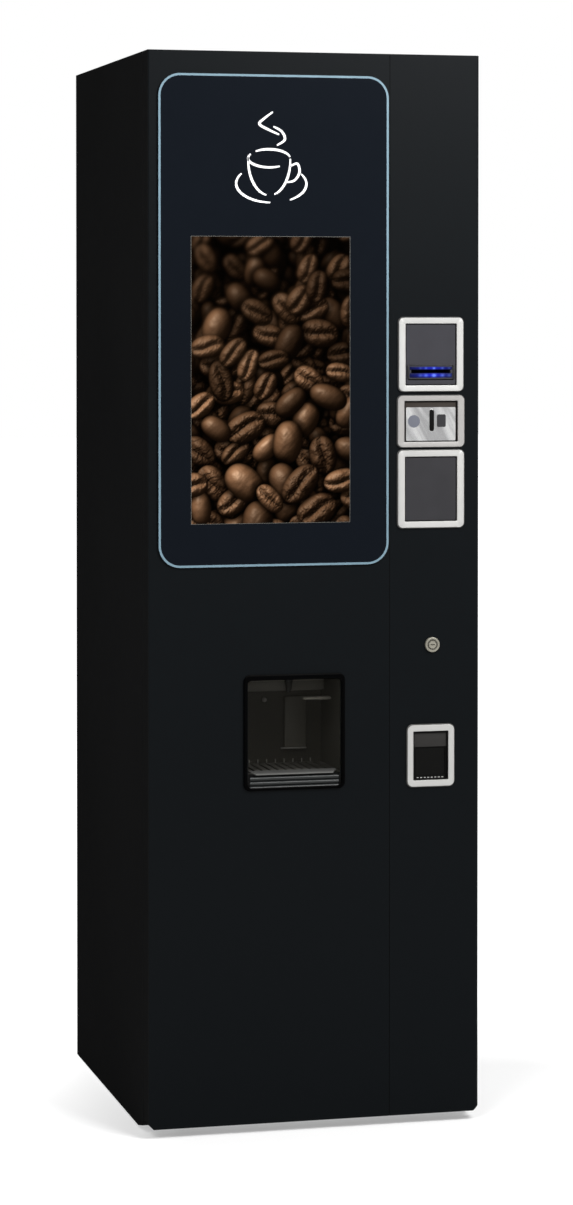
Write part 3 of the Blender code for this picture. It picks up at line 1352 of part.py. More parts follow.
def cup_window():
    """The frame and sill round the cup window, the flap, and the cup station with its drip grille."""
    frame_front = -DEPTH / 2
    opening_low, (opening_width, opening_height) = CUP_OPENING_BOTTOM, CUP_OPENING_SIZE
    bottom = opening_low - CUP_FRAME_FOOT
    width = opening_width + 2 * CUP_FRAME_SIDE
    height = CUP_FRAME_FOOT + opening_height + CUP_FRAME_TOP
    outer = rounded((CUP_AXIS, bottom + height / 2), (width, height), 0.002, 2)
    opening = rectangle((CUP_AXIS, opening_low + opening_height / 2), (opening_width, opening_height))
    frame = plate("cup_window_frame", [outer, opening], frame_front, FACE - GAP)
    sill_top = SILL_BOTTOM + SILL_HEIGHT
    half_sill = opening_width / 2 - SILL_INSET
    bars = box(
        "sill_bars",
        (CUP_AXIS - half_sill, frame_front, SILL_BOTTOM),
        (CUP_AXIS + half_sill, FACE - GAP, sill_top),
    )
    ledge = box(
        "sill_ledge",
        (CUP_AXIS - half_sill, frame_front + 0.001, opening_low + 0.002),
        (CUP_AXIS + half_sill, FACE + SILL_DEPTH - PROUD, sill_top),
    )
    pin, pin_reach = 0.0009, 0.003
    flap_top = opening_low + opening_height - FLAP_CLEARANCE
    pin_z = flap_top - FLAP_PIN_DROP
    flap_front = frame_front + 0.0004
    pin_y = flap_front + FLAP_THICKNESS / 2
    half_opening = opening_width / 2
    bore = plate(
        "flap_pin_bore",
        [circle(pin_y, pin_z, pin + 2 * GAP, 10)],
        CUP_AXIS - half_opening - pin_reach,
        CUP_AXIS + half_opening + pin_reach,
        "X",
        "cutters",
    )
    cut(join(frame, bars, ledge), bore)
    half_flap = half_opening - FLAP_CLEARANCE
    flap = plate(
        "cup_flap",
        [spanned((CUP_AXIS - half_flap, FLAP_BOTTOM), (CUP_AXIS + half_flap, flap_top))],
        flap_front,
        flap_front + FLAP_THICKNESS,
    )
    reach = half_opening + pin_reach - 2 * GAP
    bar = plate("flap_pin", [circle(pin_y, pin_z, pin, 8)], CUP_AXIS - reach, CUP_AXIS + reach, "X")
    finish(join(flap, bar), "smoked_plastic")
    pivot = axle("cup_flap_axis", (CUP_AXIS, pin_y, pin_z))
    front, back = FRAME_FRONT, FRAME_FRONT + STATION_DEPTH
    floor_bottom = opening_low - 0.001
    station_top = MID_SHELF_TOP - SHELF_SHEET - STATION_TOP_CLEARANCE
    outer_half = half_opening + STATION_MARGIN
    inner_half = outer_half - STATION_WALL
    station = box(
        "cup_station",
        (CUP_AXIS - outer_half, front, floor_bottom),
        (CUP_AXIS + outer_half, back, station_top),
    )
    margin = 0.01
    floor_top = floor_bottom + STATION_WALL
    hollow = box(
        "station_hollow",
        (CUP_AXIS - inner_half, front - margin, floor_top),
        (CUP_AXIS + inner_half, back - STATION_WALL, station_top + margin),
        "cutters",
    )
    cut(station, hollow)
    grille_front = FACE + SILL_DEPTH
    grille_back = back - STATION_WALL - 2 * GAP
    grille_half = inner_half - 2 * GAP
    rim = 0.008
    slots = [spanned((CUP_AXIS - grille_half, grille_front), (CUP_AXIS + grille_half, grille_back))]
    pitch = 2 * (grille_half - rim) / GRILLE_SLOTS
    for number in range(GRILLE_SLOTS):
        x = CUP_AXIS + (number - (GRILLE_SLOTS - 1) / 2) * pitch
        slots.append(
            spanned((x - GRILLE_SLOT / 2, grille_front + rim), (x + GRILLE_SLOT / 2, grille_back - rim))
        )
    grille = plate("drip_grille", slots, floor_top + GAP, floor_top + GAP + GRILLE_THICKNESS, "Z")
    finish(frame, "dark_plastic")
    finish(station, "dark_plastic")
    finish(grille, "grey_plastic")
    return [frame, station, grille, pivot], pivot, flap


def lock():
    """The lock's ring and barrel, and the plug that turns in it with the cam on its back."""
    x, z = COLUMN_AXIS + LOCK_OFFSET, LOCK_HEIGHT
    front = -DEPTH / 2
    seat = FACE - GAP
    barrel_end = DOOR_BACK + 0.001
    clear = 0.0003
    profile = [
        (LOCK_PLUG + clear, -front),
        (LOCK_RADIUS - 0.0015, -front),
        (LOCK_RADIUS, -front - 0.0015),
        (LOCK_RADIUS, -seat),
        (LOCK_BARREL, -seat),
        (LOCK_BARREL, -barrel_end),
        (LOCK_PLUG + clear, -barrel_end),
        (LOCK_PLUG + clear, -front),
    ]
    body = finish(turned("lock_body", profile, (x, 0, z), "Y", 24), "steel")
    cam_front = CABINET_FRONT + SHEET + 0.0025
    plug_front = front + 0.0006
    plug_profile = [
        (0, -plug_front),
        (LOCK_PLUG, -plug_front),
        (LOCK_PLUG, -cam_front - CAM_SHEET / 2),
        (0, -cam_front - CAM_SHEET / 2),
    ]
    plug = turned("lock_plug", plug_profile, (x, 0, z), "Y", 24)
    steps, half = 6, CAM_WIDTH / 2
    outline = []
    for centre_z, start in ((z, 0), (z - CAM_REACH + half, math.pi)):
        for step in range(steps + 1):
            angle = start + math.pi * step / steps
            outline.append((x + half * math.cos(angle), centre_z + half * math.sin(angle)))
    cam = plate("lock_cam", [outline], cam_front, cam_front + CAM_SHEET)
    key = box(
        "key_slot",
        (x - 0.004, plug_front - 0.01, z - 0.0007),
        (x + 0.004, plug_front + 0.012, z + 0.0007),
        "cutters",
    )
    finish(cut(join(plug, cam), key), "steel")
    pivot = axle("lock_axis", (x, plug_front, z))
    return [body, pivot], pivot, plug


def door():
    """Everything that swings with the door, hung from an empty on the piano hinge's axis."""
    swing = axle("door_axis", (HINGE_X, HINGE_Y, DOOR_BOTTOM))
    pieces = [*door_panels(), door_frame(), *screen_pieces(), *bill_pieces(), *coin_pieces(), *blank_pieces()]
    for fixed, pivot, moving in (return_pieces(), cup_window(), lock()):
        pieces += fixed
        hang(pivot, moving)
    front = button_front()
    button = plate("coin_return_button", [rounded(button_centre(), BUTTON, 0.002, 3)], front, front + BUTTON_DEPTH)
    slide = axle("button_axis", (button_centre()[0], front, button_centre()[1]))
    hang(slide, finish(button, "silver_plastic"))
    hang(swing, *pieces, slide, hinge())


def build():
    """Builds every piece of the machine."""
    for old in list(bpy.data.objects):
        bpy.data.objects.remove(old)
    collection(OBJECT_NAME)
    collection("cutters")
    side_panels()
    base_tray()
    feet()
    top_panel()
    rear_panel()
    mid_shelf()
    upper_shelf()
    rear_fittings()
    nozzle_arm()
    cup_turret()
    brewer()
    grinder()
    canisters()
    water_works()
    bucket()
    control_box()
    door()


build()
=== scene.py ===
"""The looks of a hot coffee vending machine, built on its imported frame: finishes, trim, signs, picture and light."""

import json
import logging
import math
from collections.abc import Callable, Sequence
from dataclasses import dataclass, field
from enum import Enum

import bmesh
import bpy
import numpy as np
from mathutils import Matrix, Vector


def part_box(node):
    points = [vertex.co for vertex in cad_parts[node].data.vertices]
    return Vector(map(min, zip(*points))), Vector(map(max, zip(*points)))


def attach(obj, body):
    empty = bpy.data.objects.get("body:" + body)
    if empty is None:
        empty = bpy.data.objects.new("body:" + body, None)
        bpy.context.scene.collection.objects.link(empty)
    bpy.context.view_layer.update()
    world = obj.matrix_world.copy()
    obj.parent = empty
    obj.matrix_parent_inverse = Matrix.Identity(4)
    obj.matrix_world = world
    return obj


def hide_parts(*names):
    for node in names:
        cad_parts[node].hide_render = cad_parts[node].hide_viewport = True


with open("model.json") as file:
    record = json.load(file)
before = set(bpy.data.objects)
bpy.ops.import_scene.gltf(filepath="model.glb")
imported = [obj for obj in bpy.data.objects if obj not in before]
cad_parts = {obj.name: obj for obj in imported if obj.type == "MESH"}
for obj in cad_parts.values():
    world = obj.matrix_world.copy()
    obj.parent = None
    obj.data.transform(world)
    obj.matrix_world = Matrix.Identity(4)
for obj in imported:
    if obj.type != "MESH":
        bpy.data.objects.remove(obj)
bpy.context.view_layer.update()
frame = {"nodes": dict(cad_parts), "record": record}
LOG = logging.getLogger("vending_machine")

Point = tuple[float, float]
Place = tuple[float, float, float]
Colour = tuple[float, float, float]
Socket = bpy.types.NodeSocket
Piece = bpy.types.Object
Face = bpy.types.MeshPolygon

HAIR = 0.00012  # how far print, film and trim lie off the surface under them
SHARP = math.radians(32)  # an edge bent more than this stays sharp
WELD = 1e-6  # points nearer than this are one


class Grain(Enum):
    """The fine relief of a surface, as how many cycles a metre it has along X, Y and Z."""

    ORANGE_PEEL = (420.0, 420.0, 420.0)
    MOULDED = (1500.0, 1500.0, 1500.0)
    BRUSHED_ACROSS = (14.0, 1600.0, 1600.0)
    BRUSHED_UP = (1600.0, 1600.0, 14.0)
    SPANGLE = (95.0, 95.0, 95.0)
    SMOOTH = (40.0, 40.0, 40.0)


class Body(Enum):
    """The moving bodies that trim rides on."""

    CABINET = "cabinet"
    DOOR = "door"


class Graph:
    """A node tree with short calls that add and link nodes."""

    def __init__(self, tree: bpy.types.NodeTree) -> None:
        """Args:
        tree: the node tree to add to.
        """
        self.tree = tree

    def add(self, kind: str, settings: dict | None = None, sockets: dict | None = None) -> bpy.types.Node:
        """Adds a node.

        Args:
            kind: the node's type name.
            settings: values of its properties.
            sockets: by name or number, a value, or an output socket to link from.

        Returns:
            The node.
        """
        node = self.tree.nodes.new(kind)
        for name, value in (settings or {}).items():
            setattr(node, name, value)
        for key, value in (sockets or {}).items():
            if isinstance(value, Socket):
                self.tree.links.new(value, node.inputs[key])
            else:
                node.inputs[key].default_value = value
        return node

    def maths(self, operation: str, first: object, second: object = 0.0) -> Socket:
        """Adds a Math node on two values or sockets and returns its output."""
        return self.add("ShaderNodeMath", {"operation": operation}, {0: first, 1: second}).outputs[0]

    def times(self, first: object, second: object) -> Socket:
        """Multiplies two values or sockets and returns the output."""
        return self.maths("MULTIPLY", first, second)

    def vector(self, x: object, y: object, z: object) -> Socket:
        """Adds a Combine XYZ node and returns its output."""
        return self.add("ShaderNodeCombineXYZ", None, {0: x, 1: y, 2: z}).outputs[0]

    def vector_maths(self, operation: str, first: object, second: object, output: int | str = 0) -> Socket:
        """Adds a Vector Math node and returns one of its outputs."""
        return self.add("ShaderNodeVectorMath", {"operation": operation}, {0: first, 1: second}).outputs[output]

    def group(self, tree: bpy.types.NodeTree, sockets: dict) -> Sequence[Socket]:
        """Adds a shader group and returns its outputs."""
        return self.add("ShaderNodeGroup", {"node_tree": tree}, sockets).outputs

    def mapped(self, value: object, low: float, high: float, to_low: float, to_high: float) -> Socket:
        """Adds a Map Range node and returns its output."""
        sockets = {0: value, 1: low, 2: high, 3: to_low, 4: to_high}
        return self.add("ShaderNodeMapRange", None, sockets).outputs[0]

    def mixed(self, share: object, first: object, second: object, blend: str = "MIX") -> Socket:
        """Adds a colour Mix node and returns its output."""
        settings = {"data_type": "RGBA", "blend_type": blend}
        return self.add("ShaderNodeMix", settings, {0: share, 6: first, 7: second}).outputs[2]

    def noise(self, vector: object, scale: float, detail: float = 2.0) -> Socket:
        """Adds a Noise Texture and returns its value."""
        sockets = {"Vector": vector, "Scale": scale, "Detail": detail}
        return self.add("ShaderNodeTexNoise", None, sockets).outputs[0]

    def link(self, source: Socket, target: Socket) -> None:
        """Links two sockets."""
        self.tree.links.new(source, target)


Sockets = Sequence[tuple[str, str, object]]


def shader_group(name: str, inputs: Sockets, outputs: Sockets, fill: Callable) -> bpy.types.NodeTree:
    """Makes a shader node group once.

    Args:
        name: the group's name.
        inputs: name, socket type and default of each input.
        outputs: the same of each output.
        fill: takes the graph and the inputs' sockets by name, and returns the outputs' sockets in order.

    Returns:
        The group.
    """
    if name in bpy.data.node_groups:
        return bpy.data.node_groups[name]
    tree = bpy.data.node_groups.new(name, "ShaderNodeTree")
    for sockets, way in ((inputs, "INPUT"), (outputs, "OUTPUT")):
        for label, kind, default in sockets:
            made = tree.interface.new_socket(name=label, in_out=way, socket_type=kind)
            if default is not None:
                made.default_value = default
    graph = Graph(tree)
    entry, leave = graph.add("NodeGroupInput"), graph.add("NodeGroupOutput")
    made_sockets = fill(graph, {label: entry.outputs[label] for label, _, _ in inputs})
    for socket, target in zip(made_sockets, leave.inputs, strict=False):
        graph.link(socket, target)
    return tree


FLOAT, COLOUR, VECTOR = "NodeSocketFloat", "NodeSocketColor", "NodeSocketVector"


def drift_group() -> bpy.types.NodeTree:
    """The slow drift of colour and gloss over a painted or moulded face."""

    def fill(graph: Graph, given: dict) -> list[Socket]:
        """Swings the colour with a slow and a quick noise."""
        slow, quick = graph.noise(given["Vector"], 2.2, 1.0), graph.noise(given["Vector"], 38.0, 4.0)
        both = graph.maths("ADD", graph.times(slow, 0.6), graph.times(quick, 0.4))
        swing = graph.times(graph.mapped(both, 0.3, 0.7, -1.0, 1.0), given["Amount"])
        factor = graph.maths("ADD", swing, 1.0)
        return [graph.mixed(1.0, given["Colour"], graph.vector(factor, factor, factor), "MULTIPLY"), both]

    inputs = [("Vector", VECTOR, None), ("Colour", COLOUR, None), ("Amount", FLOAT, 0.1)]
    return shader_group("surface_drift", inputs, [("Colour", COLOUR, None), ("Value", FLOAT, None)], fill)


def relief_group() -> bpy.types.NodeTree:
    """The fine relief of a surface, stretched for brushed metal."""

    def fill(graph: Graph, given: dict) -> list[Socket]:
        """Noise stretched along the axes."""
        return [graph.noise(graph.vector_maths("MULTIPLY", given["Vector"], given["Stretch"]), 1.0, 3.0)]

    inputs = [("Vector", VECTOR, None), ("Stretch", VECTOR, (400.0, 400.0, 400.0))]
    return shader_group("fine_relief", inputs, [("Height", FLOAT, None)], fill)


def wear_group() -> bpy.types.NodeTree:
    """Where an edge is rubbed bright: the bend of a rounded normal away from the face's own, broken up."""

    def fill(graph: Graph, given: dict) -> list[Socket]:
        """Finds the edges where the rounded normal leaves the true one."""
        rounded = graph.add("ShaderNodeBevel", {"samples": 4}, {"Radius": given["Radius"]}).outputs[0]
        own = graph.add("ShaderNodeNewGeometry").outputs["Normal"]
        edge = graph.mapped(graph.vector_maths("DOT_PRODUCT", rounded, own, "Value"), 0.99, 0.80, 0.0, 1.0)
        patches = graph.mapped(graph.noise(given["Vector"], 70.0, 4.0), 0.42, 0.62, 0.15, 1.0)
        return [graph.times(graph.times(edge, patches), given["Amount"])]

    inputs = [("Vector", VECTOR, None), ("Radius", FLOAT, 0.001), ("Amount", FLOAT, 0.5)]
    return shader_group("edge_wear", inputs, [("Mask", FLOAT, None)], fill)


def dust_group() -> bpy.types.NodeTree:
    """A thin film of dust on what faces up."""

    def fill(graph: Graph, given: dict) -> list[Socket]:
        """Finds the faces that look up."""
        normal = graph.add("ShaderNodeNewGeometry").outputs["Normal"]
        facing = graph.mapped(graph.add("ShaderNodeSeparateXYZ", None, {0: normal}).outputs[2], 0.4, 1.0, 0.0, 1.0)
        specks = graph.mapped(graph.noise(given["Vector"], 160.0, 5.0), 0.35, 0.7, 0.3, 1.0)
        return [graph.times(graph.times(facing, specks), given["Amount"])]

    inputs = [("Vector", VECTOR, None), ("Amount", FLOAT, 0.1)]
    return shader_group("dust_film", inputs, [("Mask", FLOAT, None)], fill)


def painted_sheen_group() -> bpy.types.NodeTree:
    """Broad slanting bands of light and shade, as a brushed plate throws back."""

    def fill(graph: Graph, given: dict) -> list[Socket]:
        """Lays bands across the slanted coordinate."""
        sockets = {"Vector": given["Vector"], "Angle": given["Slant"]}
        leaning = graph.add("ShaderNodeVectorRotate", {"rotation_type": "Y_AXIS"}, sockets).outputs[0]
        spread = graph.vector_maths("MULTIPLY", leaning, given["Stretch"])
        return [graph.mapped(graph.noise(spread, 1.0, 1.0), 0.38, 0.62, 0.0, 1.0)]

    inputs = [("Vector", VECTOR, None), ("Slant", FLOAT, 0.5), ("Stretch", VECTOR, (85.0, 2.0, 9.0))]
    return shader_group("slanting_bands", inputs, [("Mask", FLOAT, None)], fill)


@dataclass(frozen=True)
class Finish:
    """One surface finish: its colour and gloss, its fine relief, how it ages, and any painted sheen of light and
    shade.
    """

    name: str
    colour: Colour
    roughness: float
    metallic: float = 0.0
    specular: float = 0.5
    grain: Grain = Grain.MOULDED
    relief: float = 0.1
    drift: float = 0.06
    dust: float = 0.04
    dust_colour: Colour = (0.20, 0.19, 0.175)
    wear: float = 0.0
    wear_colour: Colour = (0.10, 0.10, 0.10)
    alpha: float = 1.0
    coat: float = 0.0
    glow: float = 0.0
    glow_colour: Colour = (0.0, 0.0, 0.0)
    # how strongly slanting bands of painted reflection, light and shade, lie over the colour
    painted_sheen: float = 0.0
    painted_sheen_colour: Colour = (0.16, 0.16, 0.165)

    def material(self) -> bpy.types.Material:
        """Builds the material once.

        Returns:
            The material, with colour, roughness and relief from nodes and the steady values on its shader.
        """
        if self.name in bpy.data.materials:
            return bpy.data.materials[self.name]
        made = bpy.data.materials.new(self.name)
        made.use_nodes = True
        graph = Graph(made.node_tree)
        shader = made.node_tree.nodes["Principled BSDF"]
        place = graph.add("ShaderNodeTexCoord").outputs["Object"]
        sockets = {"Vector": place, "Colour": (*self.colour, 1.0), "Amount": self.drift}
        colour, value = graph.group(drift_group(), sockets)
        roughness = graph.mapped(value, 0.3, 0.7, self.roughness * 0.9, min(1.0, self.roughness * 1.1))
        # Slanting bands of painted reflection, light and shade, mixed into the colour.
        if self.painted_sheen:
            shade = graph.group(painted_sheen_group(), {"Vector": place})[0]
            colour = graph.mixed(graph.times(shade, self.painted_sheen), colour, (*self.painted_sheen_colour, 1.0))
        if self.dust:
            film = graph.group(dust_group(), {"Vector": place, "Amount": self.dust})[0]
            colour = graph.mixed(film, colour, (*self.dust_colour, 1.0))
        if self.wear:
            rubbed = graph.group(wear_group(), {"Vector": place, "Radius": 0.0012, "Amount": self.wear})[0]
            colour = graph.mixed(rubbed, colour, (*self.wear_colour, 1.0))
        graph.link(colour, shader.inputs["Base Color"])
        graph.link(roughness, shader.inputs["Roughness"])
        height = graph.group(relief_group(), {"Vector": place, "Stretch": self.grain.value})[0]
        sockets = {"Strength": self.relief, "Distance": 0.0002, "Height": height}
        graph.link(graph.add("ShaderNodeBump", None, sockets).outputs[0], shader.inputs["Normal"])
        self.set_steady(shader)
        return made


    def set_steady(self, shader: bpy.types.Node) -> None:
        """Sets the values that are the same all over on the shader's own sockets."""
        steady = {
            "Metallic": self.metallic,
            "Specular IOR Level": self.specular,
            "Alpha": self.alpha,
            "Coat Weight": self.coat,
            "Coat Roughness": 0.08,
            "Emission Strength": self.glow,
            "Emission Color": (*self.glow_colour, 1.0),
        }
        for name, value in steady.items():
            shader.inputs[name].default_value = value


@dataclass(frozen=True)
class PictureFinish(Finish):
    """A lit picture or print whose colour is stored on its mesh."""

    attribute: str = "picture"

    def material(self) -> bpy.types.Material:
        """Builds the material, which shines with the mesh's stored colour."""
        if self.name in bpy.data.materials:
            return bpy.data.materials[self.name]
        made = super().material()
        graph = Graph(made.node_tree)
        shader = made.node_tree.nodes["Principled BSDF"]
        stored = graph.add("ShaderNodeAttribute", {"attribute_name": self.attribute}).outputs["Color"]
        graph.link(stored, shader.inputs["Emission Color"])
        return made


class Finishes(Enum):
    """Every finish of the machine."""

    BLACK_PAINT = Finish(
        "black_powder_coat", (0.0020, 0.0028, 0.0035), 0.46, specular=0.05, grain=Grain.ORANGE_PEEL,
        relief=0.08, dust=0.001, wear=0.04, wear_colour=(0.014, 0.015, 0.016),
    )
    DULL_PAINT = Finish(
        "dull_black_coat", (0.0110, 0.0111, 0.0113), 0.75, specular=0.0, grain=Grain.ORANGE_PEEL, relief=0.12,
        drift=0.10, dust=0.006, wear=0.08, wear_colour=(0.020, 0.020, 0.021),
    )
    NAVY_GLASS = Finish(
        "navy_printed_glass", (0.0040, 0.0054, 0.0080), 0.20, specular=0.02, grain=Grain.SMOOTH, relief=0.0,
        drift=0.04, dust=0.0,
    )
    BORDER = Finish(
        "pale_blue_border", (0.140, 0.215, 0.262), 0.35, specular=0.2, grain=Grain.SMOOTH, relief=0.02,
        drift=0.12,
    )
    WHITE_PRINT = Finish(
        "white_print", (0.90, 0.90, 0.90), 0.5, specular=0.2, grain=Grain.SMOOTH, relief=0.02,
    )
    SCREEN = PictureFinish(
        "lit_screen", (0.0004, 0.0003, 0.0002), 0.30, specular=0.0, grain=Grain.SMOOTH, relief=0.0, dust=0.0,
        glow=1.0,
    )
    SCREEN_EDGE = Finish("screen_edge", (0.060, 0.058, 0.050), 0.5, grain=Grain.SMOOTH)
    SILVER = Finish(
        "satin_silver_plastic", (0.395, 0.392, 0.380), 0.42, metallic=0.25, relief=0.06, drift=0.05,
        wear=0.35, wear_colour=(0.60, 0.60, 0.59),
    )
    # The bezels' outer slope in a darker copy of the silver: painted shade.
    SILVER_SLOPE = Finish(
        "silver_plastic_slope", (0.085, 0.083, 0.080), 0.45, metallic=0.25, relief=0.06, wear=0.3,
        wear_colour=(0.26, 0.26, 0.25),
    )
    CHAMPAGNE = Finish(
        "grey_silver_plastic", (0.290, 0.280, 0.271), 0.40, metallic=0.35, relief=0.06, drift=0.05, wear=0.3,
        wear_colour=(0.46, 0.46, 0.45),
    )
    GREY_PLATE = Finish("grey_satin_plate", (0.030, 0.0295, 0.0345), 0.48, specular=0.10, drift=0.12)
    BLANK_PLATE = Finish("grey_blank_plate", (0.0245, 0.024, 0.0265), 0.48, specular=0.10, drift=0.14)
    # The brushed plate carries slanting bands of painted reflection in its colour.
    COIN_STEEL = Finish(
        "brushed_coin_plate", (0.50, 0.50, 0.50), 0.26, metallic=0.9, grain=Grain.BRUSHED_ACROSS, relief=0.12,
        drift=0.10, wear=0.3, wear_colour=(0.80, 0.80, 0.78), painted_sheen=0.55,
    )
    BRIGHT_STEEL = Finish(
        "polished_steel", (0.46, 0.45, 0.42), 0.24, metallic=1.0, grain=Grain.BRUSHED_ACROSS, relief=0.05,
        drift=0.08,
    )
    LOCK_FACE = Finish(
        "aged_lock_face", (0.215, 0.205, 0.168), 0.42, metallic=0.55, relief=0.08, drift=0.12, wear=0.4,
        wear_colour=(0.42, 0.41, 0.33),
    )
    LOCK_DARK = Finish("lock_groove", (0.060, 0.056, 0.045), 0.5, metallic=0.3, relief=0.05)
    ZINC = Finish(
        "spangled_zinc", (0.40, 0.41, 0.42), 0.40, metallic=0.85, grain=Grain.SPANGLE, relief=0.05,
        drift=0.14, wear=0.2, wear_colour=(0.62, 0.62, 0.62),
    )
    DARK_PLASTIC = Finish(
        "dark_moulded_plastic", (0.011, 0.011, 0.0115), 0.50, specular=0.16, relief=0.22, wear=0.25,
        wear_colour=(0.045, 0.045, 0.045),
    )
    # Near-black that stands in for shade: it fills a seam, a slot, a groove and the space under the sill as painted
    # shade.
    PIT = Finish("dark_recess", (0.003, 0.003, 0.003), 0.7, specular=0.05)
    GREY_PLASTIC = Finish("grey_moulded_plastic", (0.15, 0.15, 0.16), 0.5, specular=0.35, relief=0.18)
    WHITE_PLASTIC = Finish("white_moulded_plastic", (0.68, 0.68, 0.65), 0.42, relief=0.12, drift=0.04)
    CLEAR_PLASTIC = Finish(
        "clear_moulded_plastic", (0.62, 0.65, 0.66), 0.18, grain=Grain.SMOOTH, relief=0.05, alpha=0.34,
        coat=0.3,
    )
    SMOKED = Finish(
        "smoked_clear_sheet", (0.0090, 0.0085, 0.0070), 0.12, specular=0.02, grain=Grain.SMOOTH, relief=0.0,
        alpha=0.24, dust=0.0,
    )
    GLOSS_BLACK = Finish(
        "gloss_black_plastic", (0.0009, 0.0009, 0.0010), 0.24, specular=0.008, grain=Grain.SMOOTH,
        relief=0.03, wear=0.12, wear_colour=(0.012, 0.013, 0.014),
    )
    BLUE_LIGHT = PictureFinish(
        "blue_lit_bar", (0.002, 0.003, 0.020), 0.25, specular=0.02, grain=Grain.SMOOTH, relief=0.0, dust=0.0,
        glow=1.0,
    )
    PLAIN_DISC = Finish("plain_disc", (0.085, 0.09, 0.112), 0.4, grain=Grain.SMOOTH, relief=0.05, drift=0.10)
    # A brown-black sheet that stands in for the shade inside the coin recess: painted shade.
    RECESS = Finish("brown_black_recess", (0.026, 0.021, 0.018), 0.6, specular=0.1)
    # A near-black band inside the bezels' lips: painted shadow.
    SHADOW_LINE = Finish("dark_inner_wall", (0.0065, 0.0060, 0.0060), 0.6, specular=0.02)
    DEEP_PLASTIC = Finish("deep_black_plastic", (0.0042, 0.0042, 0.0040), 0.50, specular=0.03, relief=0.2)
    RETURN_PLATE = Finish("dark_grey_return_plate", (0.024, 0.023, 0.022), 0.45, specular=0.08)
    SILL = Finish(
        "grey_sill_ledge", (0.098, 0.098, 0.094), 0.38, specular=0.25, relief=0.05, drift=0.15, wear=0.3,
        wear_colour=(0.16, 0.16, 0.15),
    )
    SILL_BAR = Finish(
        "ridged_sill_bar", (0.014, 0.0155, 0.0155), 0.30, specular=0.20, relief=0.05, drift=0.14,
    )
    # The station's colours are its own plastic lightened by painted light, standing for the lamp inside the station;
    # the trim most of all.
    STATION = Finish("station_liner", (0.056, 0.053, 0.043), 0.5, specular=0.15, relief=0.15, drift=0.18)
    STATION_PANEL = Finish("station_panel", (0.150, 0.142, 0.118), 0.45, specular=0.2, drift=0.12)
    STATION_TRIM = Finish("station_trim", (0.34, 0.33, 0.30), 0.4, specular=0.4, relief=0.05)
    GRILLE = Finish("drip_grille_plastic", (0.085, 0.082, 0.072), 0.45, specular=0.2)
    BEAN = Finish("roasted_bean", (0.050, 0.022, 0.010), 0.38, grain=Grain.ORANGE_PEEL, relief=0.3, drift=0.3)
    COCOA = Finish("cocoa_powder", (0.14, 0.065, 0.032), 0.95, specular=0.1, relief=0.6, drift=0.1, dust=0.0)
    MILK = Finish("milk_powder", (0.78, 0.72, 0.58), 0.95, specular=0.1, relief=0.6, drift=0.04, dust=0.0)
    RUBBER = Finish("black_rubber", (0.018, 0.018, 0.018), 0.8, specular=0.25, relief=0.3, dust=0.15)
    BRASS = Finish(
        "plain_brass", (0.60, 0.42, 0.18), 0.32, metallic=1.0, grain=Grain.SMOOTH, relief=0.08, drift=0.15,
    )


@dataclass(frozen=True)
class Box:
    """A box in the part's frame: a CAD node's, or one that the record states."""

    low: Place
    high: Place

    @classmethod
    def around(cls, node: str) -> "Box":
        """The box of a CAD node."""
        low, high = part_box(node)
        return cls(tuple(low), tuple(high))

    @classmethod
    def opening(cls, name: str) -> "Box":
        """The box of one of the record's openings."""
        stated = {given["name"]: given["box_m"] for given in frame["record"]["physics"]["openings"]}
        low, high = stated[name]
        return cls(tuple(low), tuple(high))

    @property
    def size(self) -> Place:
        """How far it reaches each way."""
        return tuple(far - near for near, far in zip(self.low, self.high, strict=True))

    @property
    def middle(self) -> Place:
        """Its middle."""
        return tuple((near + far) / 2 for near, far in zip(self.low, self.high, strict=True))

    @property
    def face_size(self) -> Point:
        """Its width and height as seen from the front."""
        return self.size[0], self.size[2]

    @property
    def face_middle(self) -> Point:
        """Its middle across and up."""
        return self.middle[0], self.middle[2]


def new_piece(name: str, mesh: bpy.types.Mesh, smooth: bool = False) -> Piece:
    """Puts a mesh in the scene as an object at the origin.

    Args:
        name: the piece's name.
        mesh: its mesh.
        smooth: shade it smooth with its sharp edges kept.

    Returns:
        The piece.
    """
    if smooth:
        mesh.shade_smooth()
        mesh.set_sharp_from_angle(angle=SHARP)
    made = bpy.data.objects.new(name, mesh)
    bpy.context.scene.collection.objects.link(made)
    return made


def mesh_of(name: str, shape: bmesh.types.BMesh) -> bpy.types.Mesh:
    """Turns a bmesh into a mesh, and frees it."""
    mesh = bpy.data.meshes.new(name)
    shape.to_mesh(mesh)
    shape.free()
    return mesh


def from_bmesh(name: str, shape: bmesh.types.BMesh, smooth: bool = True) -> Piece:
    """Turns a bmesh into a piece with its normals pointing out, shaded smooth unless told otherwise."""
    bmesh.ops.remove_doubles(shape, verts=shape.verts, dist=WELD)
    bmesh.ops.recalc_face_normals(shape, faces=shape.faces)
    return new_piece(name, mesh_of(name, shape), smooth)


def rounded_loop(centre: Point, size: Point, radius: float, steps: int = 6) -> list[Point]:
    """The outline of a rectangle with round corners, from its bottom right corner counter-clockwise.

    Args:
        centre: its middle across and up.
        size: its width and height.
        radius: its corner radius.
        steps: the points of a corner after its first.

    Returns:
        The outline's points.
    """
    half_width, half_height = size[0] / 2, size[1] / 2
    radius = max(1e-5, min(radius, half_width, half_height))
    points = []
    for quarter, (side, up) in enumerate(((1, -1), (1, 1), (-1, 1), (-1, -1))):
        x = centre[0] + side * (half_width - radius)
        z = centre[1] + up * (half_height - radius)
        for step in range(steps + 1):
            angle = math.radians(90) * (quarter - 1 + step / steps)
            points.append((x + radius * math.cos(angle), z + radius * math.sin(angle)))
    return points


